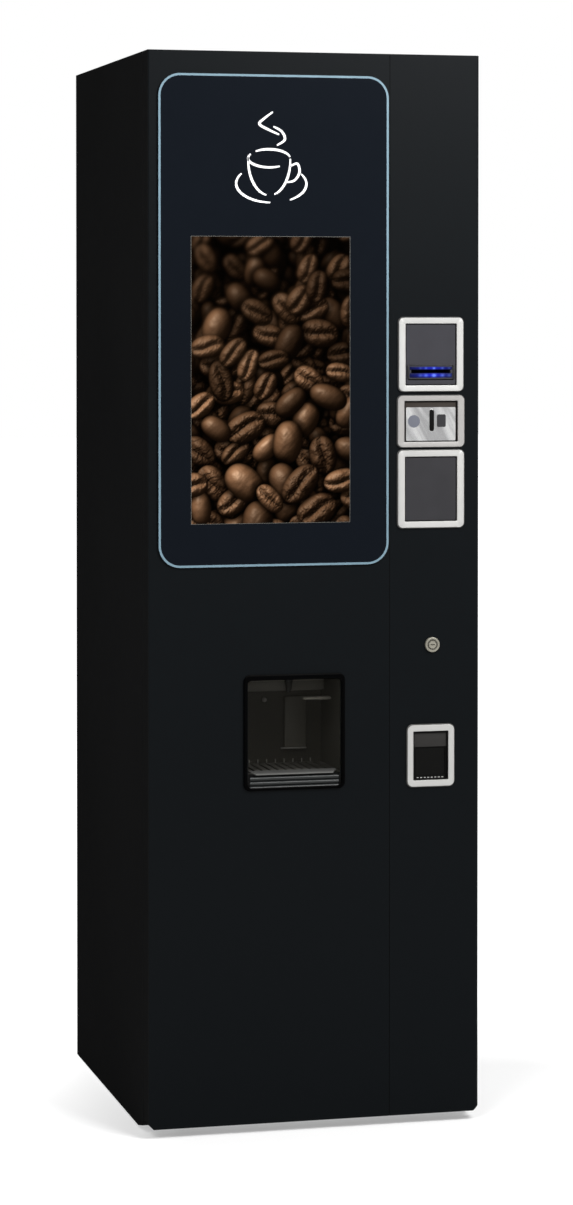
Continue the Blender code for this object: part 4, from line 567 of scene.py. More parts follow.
def lofted(name: str, loops: Sequence[Sequence[Place]], ring: bool = False) -> Piece:
    """Skins loops of equal length.

    Args:
        name: the piece's name.
        loops: closed loops of points, one after another.
        ring: join the last loop to the first, as on a frame; otherwise both ends are capped.

    Returns:
        The closed piece.
    """
    shape = bmesh.new()
    rows = [[shape.verts.new(point) for point in loop] for loop in loops]
    pairs = list(zip(rows, rows[1:] + rows[:1], strict=True)) if ring else list(zip(rows, rows[1:], strict=False))
    for low, high in pairs:
        for step in range(len(low)):
            after = (step + 1) % len(low)
            shape.faces.new((low[step], low[after], high[after], high[step]))
    if not ring:
        shape.faces.new(rows[0])
        shape.faces.new(rows[-1])
    return from_bmesh(name, shape)


def block(name: str, low: Place, high: Place, bevel: float = 0.0006, segments: int = 2) -> Piece:
    """A box between two corners with its edges rounded."""
    shape = bmesh.new()
    size = [far - near for near, far in zip(low, high, strict=True)]
    middle = [(far + near) / 2 for near, far in zip(low, high, strict=True)]
    move = Matrix.Translation(middle) @ Matrix.Diagonal((*size, 1.0))
    bmesh.ops.create_cube(shape, size=1.0, matrix=move)
    width = min(bevel, 0.45 * min(size))
    bmesh.ops.bevel(shape, geom=shape.edges[:], offset=width, segments=segments, affect="EDGES", profile=0.5)
    return from_bmesh(name, shape)


def turned(name: str, profile: Sequence[Point], centre: Place, axis: str = "Z", steps: int = 48) -> Piece:
    """A profile of (radius, height) spun round an axis through a point, closed where it meets the axis."""
    turns = {"X": Matrix.Rotation(math.radians(90), 4, "Y"), "Y": Matrix.Rotation(math.radians(90), 4, "X")}
    move = Matrix.Translation(centre) @ turns.get(axis, Matrix.Identity(4))
    shape = bmesh.new()
    points = [shape.verts.new((radius, 0.0, height)) for radius, height in profile]
    edges = [shape.edges.new(pair) for pair in zip(points, points[1:], strict=False)]
    sockets = {"cent": (0, 0, 0), "axis": (0, 0, 1), "angle": math.tau, "steps": steps}
    bmesh.ops.spin(shape, geom=points + edges, **sockets)
    bmesh.ops.remove_doubles(shape, verts=shape.verts, dist=1e-6)
    bmesh.ops.transform(shape, matrix=move, verts=shape.verts)
    return from_bmesh(name, shape)


def smooth_path(points: Sequence[Point], steps: int = 10) -> list[Vector]:
    """A smooth curve through points across and up, as a finer list of points."""
    ends = [points[0], *points, points[-1]]
    fine = []
    for first, second, third, fourth in zip(ends, ends[1:], ends[2:], ends[3:], strict=False):
        a, b, c, d = (Vector(point) for point in (first, second, third, fourth))
        for step in range(steps):
            t = step / steps
            pull = (c - a) * t + (2 * a - 5 * b + 4 * c - d) * t**2 + (3 * b - a - 3 * c + d) * t**3
            fine.append(b + pull / 2)
    fine.append(Vector(points[-1]))
    return fine


def stroke(name: str, path: Sequence[Vector], width: float, y: float, depth: float = HAIR) -> Piece:
    """A painted line on a face that looks along -Y, thin at both ends.

    Args:
        name: the piece's name.
        path: its points across and up.
        width: its width at the middle.
        y: the plane of its front.
        depth: its thickness.

    Returns:
        The line as a thin closed piece.
    """
    loops = []
    last = len(path) - 1
    for step, point in enumerate(path):
        before, after = path[max(0, step - 1)], path[min(last, step + 1)]
        along = (after - before).normalized()
        swell = 0.35 + 0.65 * math.sin(math.pi * (0.06 + 0.88 * step / last)) ** 0.6
        side = Vector((-along.y, along.x)) * width / 2 * swell
        (left, low), (right, high) = point + side, point - side
        loops.append([(left, y, low), (right, y, high), (right, y + depth, high), (left, y + depth, low)])
    return lofted(name, loops)


def merged(name: str, pieces: Sequence[Piece]) -> Piece:
    """Joins pieces of one finish into one piece."""
    shape = bmesh.new()
    for piece in pieces:
        shape.from_mesh(piece.data)
        bpy.data.objects.remove(piece)
    return new_piece(name, mesh_of(name, shape), smooth=True)


def moulding(name: str, front: float, steps: int, sections: Sequence[tuple[Point, Point, float, float]]) -> Piece:
    """A frame skinned through outlines with round corners.

    Args:
        name: the piece's name.
        front: the plane that the outlines' depths are counted from.
        steps: the points of a corner after its first.
        sections: centre, size, corner radius and depth of each outline.

    Returns:
        The closed frame.
    """
    loops = [
        [(x, front + depth, z) for x, z in rounded_loop(centre, size, radius, steps)]
        for centre, size, radius, depth in sections
    ]
    return lofted(name, loops, ring=True)


def painted_sheet(name: str, points: np.ndarray, colours: np.ndarray) -> bpy.types.Mesh:
    """A sheet of squares that stores a colour at each point.

    Args:
        name: the mesh's name.
        points: rows of places, from the bottom left.
        colours: a linear colour for each place.

    Returns:
        The mesh.
    """
    rows, columns = points.shape[:2]
    corner = (np.arange(rows - 1)[:, None] * columns + np.arange(columns - 1)[None, :]).reshape(-1)
    faces = np.stack([corner, corner + 1, corner + columns + 1, corner + columns], axis=-1)
    mesh = bpy.data.meshes.new(name)
    mesh.from_pydata(points.reshape(-1, 3).tolist(), [], faces.tolist())
    stored = mesh.color_attributes.new("picture", "FLOAT_COLOR", "POINT")
    values = np.ones((rows * columns, 4), dtype=np.float32)
    values[:, :3] = colours.reshape(-1, 3)
    stored.data.foreach_set("color", values.reshape(-1))
    return mesh


def fit(piece: Piece, finish: Finishes, body: Body = Body.DOOR) -> Piece:
    """Dresses a new piece and joins it to the body that carries it.

    Args:
        piece: the finished mesh.
        finish: its finish.
        body: the body that it rides on.

    Returns:
        The piece.
    """
    piece.data.materials.clear()
    piece.data.materials.append(finish.value.material())
    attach(piece, body.value)
    LOG.info("%s: %d faces, %s, on %s", piece.name, len(piece.data.polygons), finish.name, body.value)
    return piece


def banded(piece: Piece, finish: Finishes, chosen: Callable[[Face], bool]) -> None:
    """Gives some faces of a piece a second finish.

    Args:
        piece: the piece, dressed already.
        finish: the second finish.
        chosen: says which faces get it.
    """
    piece.data.materials.append(finish.value.material())
    last = len(piece.data.materials) - 1
    for face in piece.data.polygons:
        if chosen(face):
            face.material_index = last


def sheet_copy(node: str) -> None:
    """Stands a copy of one of the door's folded sheets in for its CAD node, with duller side edges."""
    shape = bmesh.new()
    shape.from_mesh(frame["nodes"][node].data)
    bmesh.ops.remove_doubles(shape, verts=shape.verts, dist=WELD)
    name = node + "_sheet"
    piece = fit(new_piece(name, mesh_of(name, shape)), Finishes.BLACK_PAINT)
    banded(piece, Finishes.DULL_PAINT, lambda face: abs(face.normal.x) > 0.7)
    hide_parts(node)


def dress(finish: Finishes, *nodes: str) -> None:
    """Gives CAD nodes a finish."""
    for name in nodes:
        node = frame["nodes"][name]
        for place in node.material_slots:
            place.material = finish.value.material()
        LOG.info("%s: %s", name, finish.name)


class Repeat:
    """A Geometry Nodes tree that lays copies of a small part on a grid, with every size a named input."""

    def __init__(self, name: str, part: Callable[[Graph, dict], Socket], extra: Sockets = ()) -> None:
        """Args:
        name: the tree's name.
        part: builds the part's mesh from the graph and the named inputs, and returns its geometry socket.
        extra: more inputs, for the part's sizes.
        """
        self.name = name
        self.tree = bpy.data.node_groups.new(name, "GeometryNodeTree")
        self.graph = Graph(self.tree)
        sockets = [
            ("Columns", "NodeSocketInt", 1),
            ("Rows", "NodeSocketInt", 1),
            ("Pitch Across", FLOAT, 0.01),
            ("Pitch Up", FLOAT, 0.01),
            ("Turn", VECTOR, (0.0, 0.0, 0.0)),
            ("Centre", VECTOR, (0.0, 0.0, 0.0)),
            ("Wobble", FLOAT, 0.0),
            ("Seed", "NodeSocketInt", 1),
            ("Finish", "NodeSocketMaterial", None),
            *extra,
        ]
        self.sockets = {}
        for label, kind, default in sockets:
            made = self.tree.interface.new_socket(name=label, in_out="INPUT", socket_type=kind)
            if default is not None:
                made.default_value = default
            self.sockets[label] = made.identifier
        self.tree.interface.new_socket(name="Geometry", in_out="OUTPUT", socket_type="NodeSocketGeometry")
        self.fill(part)

    def fill(self, part: Callable) -> None:
        """Builds the nodes: a grid of points, the part on each, turned a little, then set in place."""
        graph = self.graph
        entry, leave = graph.add("NodeGroupInput"), graph.add("NodeGroupOutput")
        given = {label: entry.outputs[label] for label in self.sockets}
        across = graph.times(graph.maths("SUBTRACT", given["Columns"], 1), given["Pitch Across"])
        up = graph.times(graph.maths("SUBTRACT", given["Rows"], 1), given["Pitch Up"])
        sizes = {"Size X": across, "Size Y": up, "Vertices X": given["Columns"], "Vertices Y": given["Rows"]}
        grid = graph.add("GeometryNodeMeshGrid", None, sizes).outputs["Mesh"]
        points = graph.add("GeometryNodeMeshToPoints", None, {"Mesh": grid}).outputs[0]
        swing = graph.add("FunctionNodeRandomValue", {"data_type": "FLOAT_VECTOR"}, {"Seed": given["Seed"]})
        graph.link(graph.vector(0.0, 0.0, given["Wobble"]), swing.inputs["Max"])
        sockets = {"Points": points, "Instance": part(graph, given), "Rotation": swing.outputs["Value"]}
        placed = graph.add("GeometryNodeInstanceOnPoints", None, sockets).outputs[0]
        sockets = {"Geometry": placed, "Translation": given["Centre"], "Rotation": given["Turn"]}
        moved = graph.add("GeometryNodeTransform", None, sockets).outputs[0]
        real = graph.add("GeometryNodeRealizeInstances", None, {"Geometry": moved}).outputs[0]
        dressed = graph.add("GeometryNodeSetMaterial", None, {"Geometry": real, "Material": given["Finish"]})
        graph.link(dressed.outputs[0], leave.inputs[0])

    def piece(self, name: str, finish: Finishes, **values: object) -> Piece:
        """Runs the tree and turns its result into a plain mesh.

        Args:
            name: the piece's name.
            finish: its finish.
            values: the tree's inputs, with _ for a space and in lower case.

        Returns:
            The piece, with no modifier left on it.
        """
        seed = new_piece(name + "_seed", bpy.data.meshes.new(name + "_seed"))
        modifier = seed.modifiers.new("repeat", "NODES")
        modifier.node_group = self.tree
        modifier[self.sockets["Finish"]] = finish.value.material()
        for key, value in values.items():
            modifier[self.sockets[key.replace("_", " ").title()]] = value
        shown = seed.evaluated_get(bpy.context.evaluated_depsgraph_get())
        mesh = bpy.data.meshes.new_from_object(shown)
        seed.modifiers.remove(modifier)
        bpy.data.objects.remove(seed)
        mesh.name = name
        return new_piece(name, mesh, smooth=True)


FACING_FRONT = (math.radians(90), 0.0, 0.0)
FACING_BACK = (math.radians(90), 0.0, math.radians(180))
ANY_WAY = 6.28  # the wobble that turns each copy its own way


def scaled(graph: Graph, geometry: Socket, *size: object) -> Socket:
    """Stretches a part along X, Y and Z."""
    sockets = {"Geometry": geometry, "Scale": graph.vector(*size)}
    return graph.add("GeometryNodeTransform", None, sockets).outputs[0]


def screw_part(graph: Graph, given: dict) -> Socket:
    """A pan-head screw or rivet: a low dome on a thin washer."""
    dome = graph.add("GeometryNodeMeshUVSphere", None, {"Segments": 14, "Rings": 7, "Radius": given["Head"]})
    low = scaled(graph, dome.outputs["Mesh"], 1.0, 1.0, given["Dome"])
    radius, height = graph.times(given["Head"], 1.25), graph.times(given["Head"], 0.24)
    sizes = {"Vertices": 18, "Radius": radius, "Depth": height}
    washer = graph.add("GeometryNodeMeshCylinder", None, sizes).outputs["Mesh"]
    joined = graph.add("GeometryNodeJoinGeometry")
    graph.link(low, joined.inputs[0])
    graph.link(washer, joined.inputs[0])
    return joined.outputs[0]


def bar_part(graph: Graph, given: dict) -> Socket:
    """A small bar: a box of a given length, width and height."""
    size = graph.vector(given["Length"], given["Width"], given["Height"])
    return graph.add("GeometryNodeMeshCube", None, {"Size": size}).outputs["Mesh"]


def rounded_bar_part(graph: Graph, given: dict) -> Socket:
    """A bar with a round front: a swept half-round of a given length, width and height."""
    half = graph.times(given["Length"], 0.5)
    ends = {"Start": graph.vector(graph.times(half, -1.0), 0.0, 0.0), "End": graph.vector(half, 0.0, 0.0)}
    line = graph.add("GeometryNodeCurvePrimitiveLine", None, ends).outputs["Curve"]
    unit = graph.add("GeometryNodeCurvePrimitiveCircle", None, {"Resolution": 20, "Radius": 0.5}).outputs["Curve"]
    round_one = scaled(graph, unit, given["Width"], given["Height"], 1.0)
    sockets = {"Curve": line, "Profile Curve": round_one, "Fill Caps": True}
    return graph.add("GeometryNodeCurveToMesh", None, sockets).outputs[0]


def bean_part(graph: Graph, given: dict) -> Socket:
    """A roasted coffee bean: a low oval dome."""
    sphere = graph.add("GeometryNodeMeshUVSphere", None, {"Segments": 8, "Rings": 5, "Radius": given["Head"]})
    return scaled(graph, sphere.outputs["Mesh"], 1.0, 0.72, given["Dome"])


BAR_SIZES = [("Length", FLOAT, 0.01), ("Width", FLOAT, 0.002), ("Height", FLOAT, 0.001)]
SCREW_SIZES = [("Head", FLOAT, 0.004), ("Dome", FLOAT, 0.3)]


class Studio:
    """The floor, the lamps, the world and the camera."""

    CAMERA = (-1.4418, -5.7881, 1.3946)
    YAW = math.radians(14.272)
    PITCH = math.radians(1.129)
    LENS = 99.77
    RISE = 0.188
    SENSOR = 36.0  # the width of the camera's sensor in millimetres
    AMBIENT = 0.30  # the light from all round
    CHALK = 0.66  # how much light the floor gives back
    SHADE = 0.34  # how much it shines by itself where it keeps its shadow
    NEAR, FAR = 0.55, 1.15  # how far out the floor starts and ends turning into the white behind it
    SHADED = (0.30, -0.45, 0.0)  # the middle of the floor that keeps a shadow, at the machine's front right

    def build(self) -> None:
        """Sets the stage up."""
        self.floor()
        self.world()
        self.lamps()
        self.camera()
        bpy.context.scene.view_settings.view_transform = "Standard"

    def floor(self) -> None:
        """A plain white floor that keeps the machine's soft shadow."""
        shape = bmesh.new()
        bmesh.ops.create_grid(shape, x_segments=1, y_segments=1, size=30.0)
        ground = from_bmesh("studio_floor", shape, smooth=False)
        made = bpy.data.materials.new("studio_floor")
        made.use_nodes = True
        graph = Graph(made.node_tree)
        made.node_tree.nodes.remove(made.node_tree.nodes["Principled BSDF"])
        seen = self.background_ray(graph)
        place = graph.add("ShaderNodeTexCoord").outputs["Object"]
        away = graph.vector_maths("DISTANCE", place, self.SHADED, "Value")
        lift = graph.mapped(away, self.NEAR, self.FAR, self.SHADE, 1.0)
        grey = (self.CHALK, self.CHALK, self.CHALK, 1.0)
        chalk = graph.add("ShaderNodeBsdfDiffuse", None, {"Color": grey}).outputs[0]
        white = graph.add("ShaderNodeEmission", None, {"Strength": graph.times(seen, lift)}).outputs[0]
        both = graph.add("ShaderNodeAddShader", None, {0: chalk, 1: white}).outputs[0]
        graph.link(both, made.node_tree.nodes["Material Output"].inputs["Surface"])
        ground.data.materials.append(made)

    def background_ray(self, graph: Graph) -> Socket:
        """1 where the camera, a mirror or a glass looks at the background, and 0 for the light it gives."""
        rays = graph.add("ShaderNodeLightPath").outputs
        sight = graph.maths("MAXIMUM", rays["Is Camera Ray"], rays["Is Glossy Ray"])
        return graph.maths("MAXIMUM", sight, rays["Is Transmission Ray"])

    def world(self) -> None:
        """White behind the machine, and a softer even light from all round."""
        made = bpy.data.worlds.new("studio")
        made.use_nodes = True
        graph = Graph(made.node_tree)
        strength = graph.mapped(self.background_ray(graph), 0.0, 1.0, self.AMBIENT, 1.0)
        graph.link(strength, made.node_tree.nodes["Background"].inputs["Strength"])
        made.node_tree.nodes["Background"].inputs["Color"].default_value = (1.0, 1.0, 1.0, 1.0)
        bpy.context.scene.world = made

    def lamps(self) -> None:
        """A soft box at the front left, a nearer one over the right shoulder that lights the top most, one behind."""
        self.soft_box("key_light", (-2.4, -3.6, 3.4), (0.0, 0.0, 1.1), 1.6, 105.0)
        self.soft_box("front_light", (1.05, -2.2, 2.8), (0.1, 0.0, 1.7), 1.3, 105.0, mirrored=True)
        self.soft_box("back_light", (0.6, 3.4, 3.2), (0.0, 0.0, 1.0), 2.0, 60.0)

    def soft_box(
        self, name: str, place: Place, aim: Place, size: float, watts: float, mirrored: bool = False
    ) -> None:
        """Adds one area lamp.

        Args:
            name: the lamp's name.
            place: where it hangs.
            aim: the point it looks at.
            size: its width and its height.
            watts: its power.
            mirrored: let glossy surfaces show it.
        """
        lamp = bpy.data.lights.new(name, "AREA")
        lamp.shape = "RECTANGLE"
        lamp.size = lamp.size_y = size
        lamp.energy = watts
        made = bpy.data.objects.new(name, lamp)
        made.location = place
        made.rotation_euler = (Vector(aim) - Vector(place)).to_track_quat("-Z", "Y").to_euler()
        made.visible_glossy = mirrored
        bpy.context.scene.collection.objects.link(made)

    def camera(self) -> None:
        """The camera, level but for a small tilt, with the view shifted down to frame the whole machine."""
        lens = bpy.data.cameras.new("camera")
        lens.lens = self.LENS
        lens.sensor_width = self.SENSOR
        lens.shift_y = -self.RISE
        lens.clip_end = 100.0
        made = bpy.data.objects.new("camera", lens)
        made.location = self.CAMERA
        made.rotation_euler = (math.radians(90) - self.PITCH, 0.0, -self.YAW)
        bpy.context.scene.collection.objects.link(made)
        bpy.context.scene.camera = made


@dataclass
class BeanPicture:
    """The lit picture of roasted coffee beans, worked out bean by bean from a fixed seed."""

    columns: int = 198
    rows: int = 346
    pitch: float = 0.001395
    bean_length: float = 0.066
    seed: int = 11
    light: Place = (-0.42, 0.56, 0.71)
    gain: float = 1.28
    contrast: float = 1.20
    skin: Colour = (0.290, 0.158, 0.084)
    shine: Colour = (0.90, 0.70, 0.52)
    layers: tuple[tuple[float, float], ...] = ((0.08, 0.040), (0.22, 0.044), (0.50, 0.050), (1.0, 0.056))

    def colours(self) -> np.ndarray:
        """Paints the picture from the darkest layer up.

        Returns:
            Linear colours, one row for each grid point from the bottom left.
        """
        random = np.random.default_rng(self.seed)
        self.across, self.up = np.meshgrid(np.arange(self.columns) * self.pitch, np.arange(self.rows) * self.pitch)
        self.width, self.height = self.columns * self.pitch, self.rows * self.pitch
        grain = random.normal(size=(self.rows, self.columns))
        fine, broad = self.blurred(grain[..., None], 1)[..., 0], self.blurred(grain[..., None], 3)[..., 0]
        self.crumple = fine / fine.std() * 0.4 + broad / broad.std() * 0.6
        image = np.full((self.rows, self.columns, 3), (0.0020, 0.0010, 0.0006))
        for brightness, spacing in self.layers:
            for centre in self.spots(spacing, random):
                self.paint(image, centre, brightness, random)
        rise = np.clip((self.up / self.height - 0.42) / 0.50, 0.0, 1.0)[..., None]
        left = (1.0 - 0.6 * self.across / self.width)[..., None]
        soft = rise * left
        image = self.blurred(self.blurred(image, 2), 2) * soft + image * (1 - soft)
        side = np.clip((self.across / self.width - 0.86) / 0.14, 0.0, 1.0)[..., None]
        image = image * (1 - 0.50 * rise) * (1 - 0.30 * side)
        return (self.gain * image**self.contrast).reshape(-1, 3)

    def spots(self, spacing: float, random: np.random.Generator) -> list[Point]:
        """Bean places on a shaken grid, in a shuffled order, at a given spacing."""
        places = []
        for row in range(int(self.height / spacing / 0.8) + 2):
            for column in range(int(self.width / spacing) + 2):
                shake = random.uniform(-0.34, 0.34, 2)
                x = (column + 0.5 * (row % 2) - 0.3 + shake[0]) * spacing
                places.append((x, (row * 0.8 - 0.2 + shake[1]) * spacing))
        random.shuffle(places)
        return [tuple(place) for place in places]

    def blurred(self, image: np.ndarray, reach: int) -> np.ndarray:
        """The image with each point averaged over its neighbours, for the beans that lie out of focus."""
        soft = image.copy()
        for axis in (0, 1):
            rolled = [np.roll(soft, shift, axis) for shift in range(-reach, reach + 1)]
            soft = sum(rolled) / len(rolled)
        return soft

    def paint(self, image: np.ndarray, centre: Point, brightness: float, random: np.random.Generator) -> None:
        """Paints one bean over what lies behind it.

        Args:
            image: the picture so far, changed in place.
            centre: the bean's middle.
            brightness: how near the light its layer lies.
            random: the picture's own source of chance.
        """
        turn = random.uniform(0, math.pi)
        half_long = self.bean_length / 2 * random.uniform(0.78, 1.10) * (1.12 - 0.24 * centre[1] / self.height)
        half_short = half_long * random.uniform(0.60, 0.74)
        creased, bow = random.random() < 0.66, random.uniform(-0.16, 0.16)
        tone, shift = random.uniform(0.38, 1.30), random.integers(0, 90)
        reach = half_long * 1.5
        edges = [
            slice(max(0, int((at - reach) / self.pitch)), max(0, int((at + reach) / self.pitch) + 2))
            for at in (centre[1], centre[0])
        ]
        window = tuple(edges)
        dx, dz = self.across[window] - centre[0], self.up[window] - centre[1]
        if min(dx.shape) < 2:
            return
        cosine, sine = math.cos(turn), math.sin(turn)
        u = (dx * cosine + dz * sine) / half_long
        v = (-dx * sine + dz * cosine) / half_short
        far = np.abs(u) ** 2.2 + np.abs(v) ** 2.2
        crumple = np.roll(self.crumple, shift, (0, 1))[window]
        dome = np.sqrt(np.clip(1.0 - far, 0.0, 1.0))
        tall = dome * 0.92 + crumple * 0.007
        seam = v - bow * (1 - 2 * u**2) - 0.10 * np.sin(3.0 * u)
        groove = np.exp(-((seam / 0.075) ** 2)) * np.clip(1.1 - u**2, 0.0, 1.0) * creased
        if creased:
            wrinkle = np.sin(19 * u + 2.6 * crumple + 4 * np.abs(seam)) * np.exp(-np.abs(seam) / 0.50)
            tall = dome * 0.62 * (1 - 0.42 * np.exp(-((seam / 0.26) ** 2))) + 0.036 * wrinkle + crumple * 0.024
        slope_z, slope_x = np.gradient(tall * half_short, self.pitch)
        size = np.sqrt(slope_x**2 + slope_z**2 + 1)
        lit = np.clip((self.light[2] - slope_x * self.light[0] - slope_z * self.light[1]) / size, 0.0, 1.0)
        half = Vector(self.light) + Vector((0.0, 0.0, 1.0))
        half.normalize()
        glance = np.clip((half.z - slope_x * half.x - slope_z * half.y) / size, 0.0, 1.0)
        gloss = (glance**12 * 0.050 + glance**60 * (0.12 if creased else 0.24)) * tone
        shade = (0.05 + 0.95 * lit**2.9) * (0.18 + 0.82 * np.clip(dome * 1.5, 0.0, 1.0))
        colour = np.array(self.skin) * tone * shade[..., None] + np.array(self.shine) * gloss[..., None]
        colour = colour * (1 - 0.88 * groove[..., None])
        cast = np.abs(u + 0.10 * cosine - 0.14 * sine) ** 2 + np.abs(v + 0.14 * cosine) ** 2
        image[window] *= 1 - 0.80 * np.clip((1.75 - cast) / 0.9, 0.0, 1.0)[..., None]
        inside = np.clip((1.0 - far) / 0.09, 0.0, 1.0)[..., None]
        image[window] = image[window] * (1 - inside) + colour * brightness * inside


@dataclass
class Fascia:
    """The navy glass: its pale border, the lit picture with a thin rim, and the steaming cup printed over it."""

    line: float = 0.0037
    line_inset: float = 0.0003
    corner: float = 0.0375
    rim: float = 0.0007
    casing: float = 0.016  # how much wider and taller the display is than its picture
    sign_lift: float = 0.1270  # from the top of the picture to the sign's middle
    sign_width: float = 0.122
    stroke_width: float = 0.0042
    picture: BeanPicture = field(default_factory=BeanPicture)

    def __post_init__(self) -> None:
        """Reads the glass and the display behind it from the frame."""
        self.glass, display = Box.around("fascia"), Box.around("display_module")
        self.screen_centre = display.face_middle
        self.screen_size = tuple(side - self.casing for side in display.face_size)
        self.front = self.glass.low[1]

    def build(self) -> None:
        """Builds and dresses every piece on the glass."""
        dress(Finishes.NAVY_GLASS, "fascia")
        dress(Finishes.GREY_PLASTIC, "display_module")
        self.border()
        self.screen()
        self.sign()

    def border(self) -> None:
        """The pale line round the edge of the glass."""
        sections = []
        for inset, y in ((0.0, HAIR), (0.0, -HAIR), (self.line, -HAIR), (self.line, HAIR)):
            grown = inset + self.line_inset
            size = tuple(side - 2 * grown for side in self.glass.face_size)
            sections.append((self.glass.face_middle, size, self.corner - grown, y))
        fit(moulding("fascia_border", self.front, 14, sections), Finishes.BORDER)

    def screen(self) -> None:
        """The picture, as a fine grid that stores its colours, and the thin rim of the panel round it."""
        picture = self.picture
        width, height = self.screen_size
        xs = self.screen_centre[0] + (np.arange(picture.columns) / (picture.columns - 1) - 0.5) * width
        zs = self.screen_centre[1] + (np.arange(picture.rows) / (picture.rows - 1) - 0.5) * height
        grid_x, grid_z = np.meshgrid(xs, zs)
        points = np.stack([grid_x, np.full_like(grid_x, self.front - HAIR), grid_z], axis=-1)
        mesh = painted_sheet("bean_picture", points, picture.colours())
        fit(new_piece("bean_picture", mesh), Finishes.SCREEN)
        sections = []
        for inset, y in ((-self.rim, 0.0), (-self.rim, -HAIR), (0.0, -HAIR), (0.0, 0.0)):
            sections.append((self.screen_centre, (width - 2 * inset, height - 2 * inset), 0.0006, y))
        fit(moulding("screen_rim", self.front, 2, sections), Finishes.SCREEN_EDGE)

    def sign(self) -> None:
        """A plain sign for a hot drink: a cup with a handle on a saucer, and steam."""
        centre_x = self.screen_centre[0] + 0.0006
        centre_z = self.screen_centre[1] + self.screen_size[1] / 2 + self.sign_lift
        unit = self.sign_width / 2

        def placed(points: Sequence[Point]) -> list[Vector]:
            """Smooths a line and sets it where the sign stands."""
            return smooth_path([(centre_x + x * unit, centre_z + z * unit) for x, z in points], 12)

        def arc(middle: Point, radii: Point, start: float, end: float, count: int = 9) -> list[Point]:
            """Points along part of an ellipse, from one angle to another in degrees."""
            angles = [math.radians(start + (end - start) * step / (count - 1)) for step in range(count)]
            return [(middle[0] + radii[0] * math.cos(a), middle[1] + radii[1] * math.sin(a)) for a in angles]

        rim, bowl, saucer = (-0.06, 0.08), (-0.06, 0.04), (0.0, -0.62)
        lines = {
            "rim_back": arc(rim, (0.60, 0.25), 10, 130),
            "rim_front": arc(rim, (0.60, 0.25), 152, 300),
            "bowl": arc(bowl, (0.60, 0.98), 176, 262),
            "bowl_right": arc(bowl, (0.60, 0.98), 284, 362),
            "handle": [(0.52, -0.14), (0.74, -0.06), (0.80, -0.30), (0.66, -0.52), (0.42, -0.58)],
            "saucer_left": arc(saucer, (1.0, 0.52), 148, 268, 12),
            "saucer_right": arc(saucer, (1.0, 0.52), 302, 392, 12),
            "steam_low": [(0.16, 0.44), (0.38, 0.60), (0.30, 0.82), (0.06, 0.96)],
            "steam_high": [(0.22, 0.74), (-0.06, 0.86), (-0.34, 1.02), (-0.20, 1.18), (0.04, 1.36)],
        }
        face = self.front - HAIR
        drawn = [stroke(f"sign_{name}", placed(points), self.stroke_width, face) for name, points in lines.items()]
        fit(merged("cup_sign", drawn), Finishes.WHITE_PRINT)


@dataclass
class Bezel:
    """A silver frame round one device in the payment column, with a soft outer slope painted darker as shade and a
    thin inner lip with a painted shadow line inside it.
    """

    node: str
    side: float
    top: float
    finish: Finishes
    corner: float = 0.0095
    inner_corner: float = 0.0012
    steps: int = 8
    shaded_slopes: tuple[int, ...] = (0, 1, 2)
    shadows: tuple[int, ...] = (8, 9, 10)
    profile: tuple[tuple[float, float], ...] = (
        (0.0, 1.0), (0.0, 0.58), (0.02, 0.46), (0.11, 0.08), (0.15, 0.0), (0.78, 0.0), (0.85, 0.04), (0.885, 0.14),
        (0.895, 0.34), (1.0, 0.42), (1.0, 1.0),
    )

    def build(self) -> None:
        """Skins the frame along its profile and puts it in place of the plain ring."""
        box = Box.around(self.node)
        width, height = box.face_size
        sections = []
        for share, back in self.profile:
            size = (width - 2 * self.side * share, height - 2 * self.top * share)
            radius = self.corner + (self.inner_corner - self.corner) * min(1.0, share * 1.15)
            sections.append((box.face_middle, size, radius, box.size[1] * back))
        shell = moulding(self.node + "_shell", box.low[1], self.steps, sections)
        ring = fit(shell, self.finish)
        around = 4 * (self.steps + 1)
        # The outer slope gets the darker silver as painted shade, and the inner wall a near-black painted shadow line.
        banded(ring, Finishes.SILVER_SLOPE, lambda face: face.index // around in self.shaded_slopes)
        banded(ring, Finishes.SHADOW_LINE, lambda face: face.index // around in self.shadows)
        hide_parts(self.node)


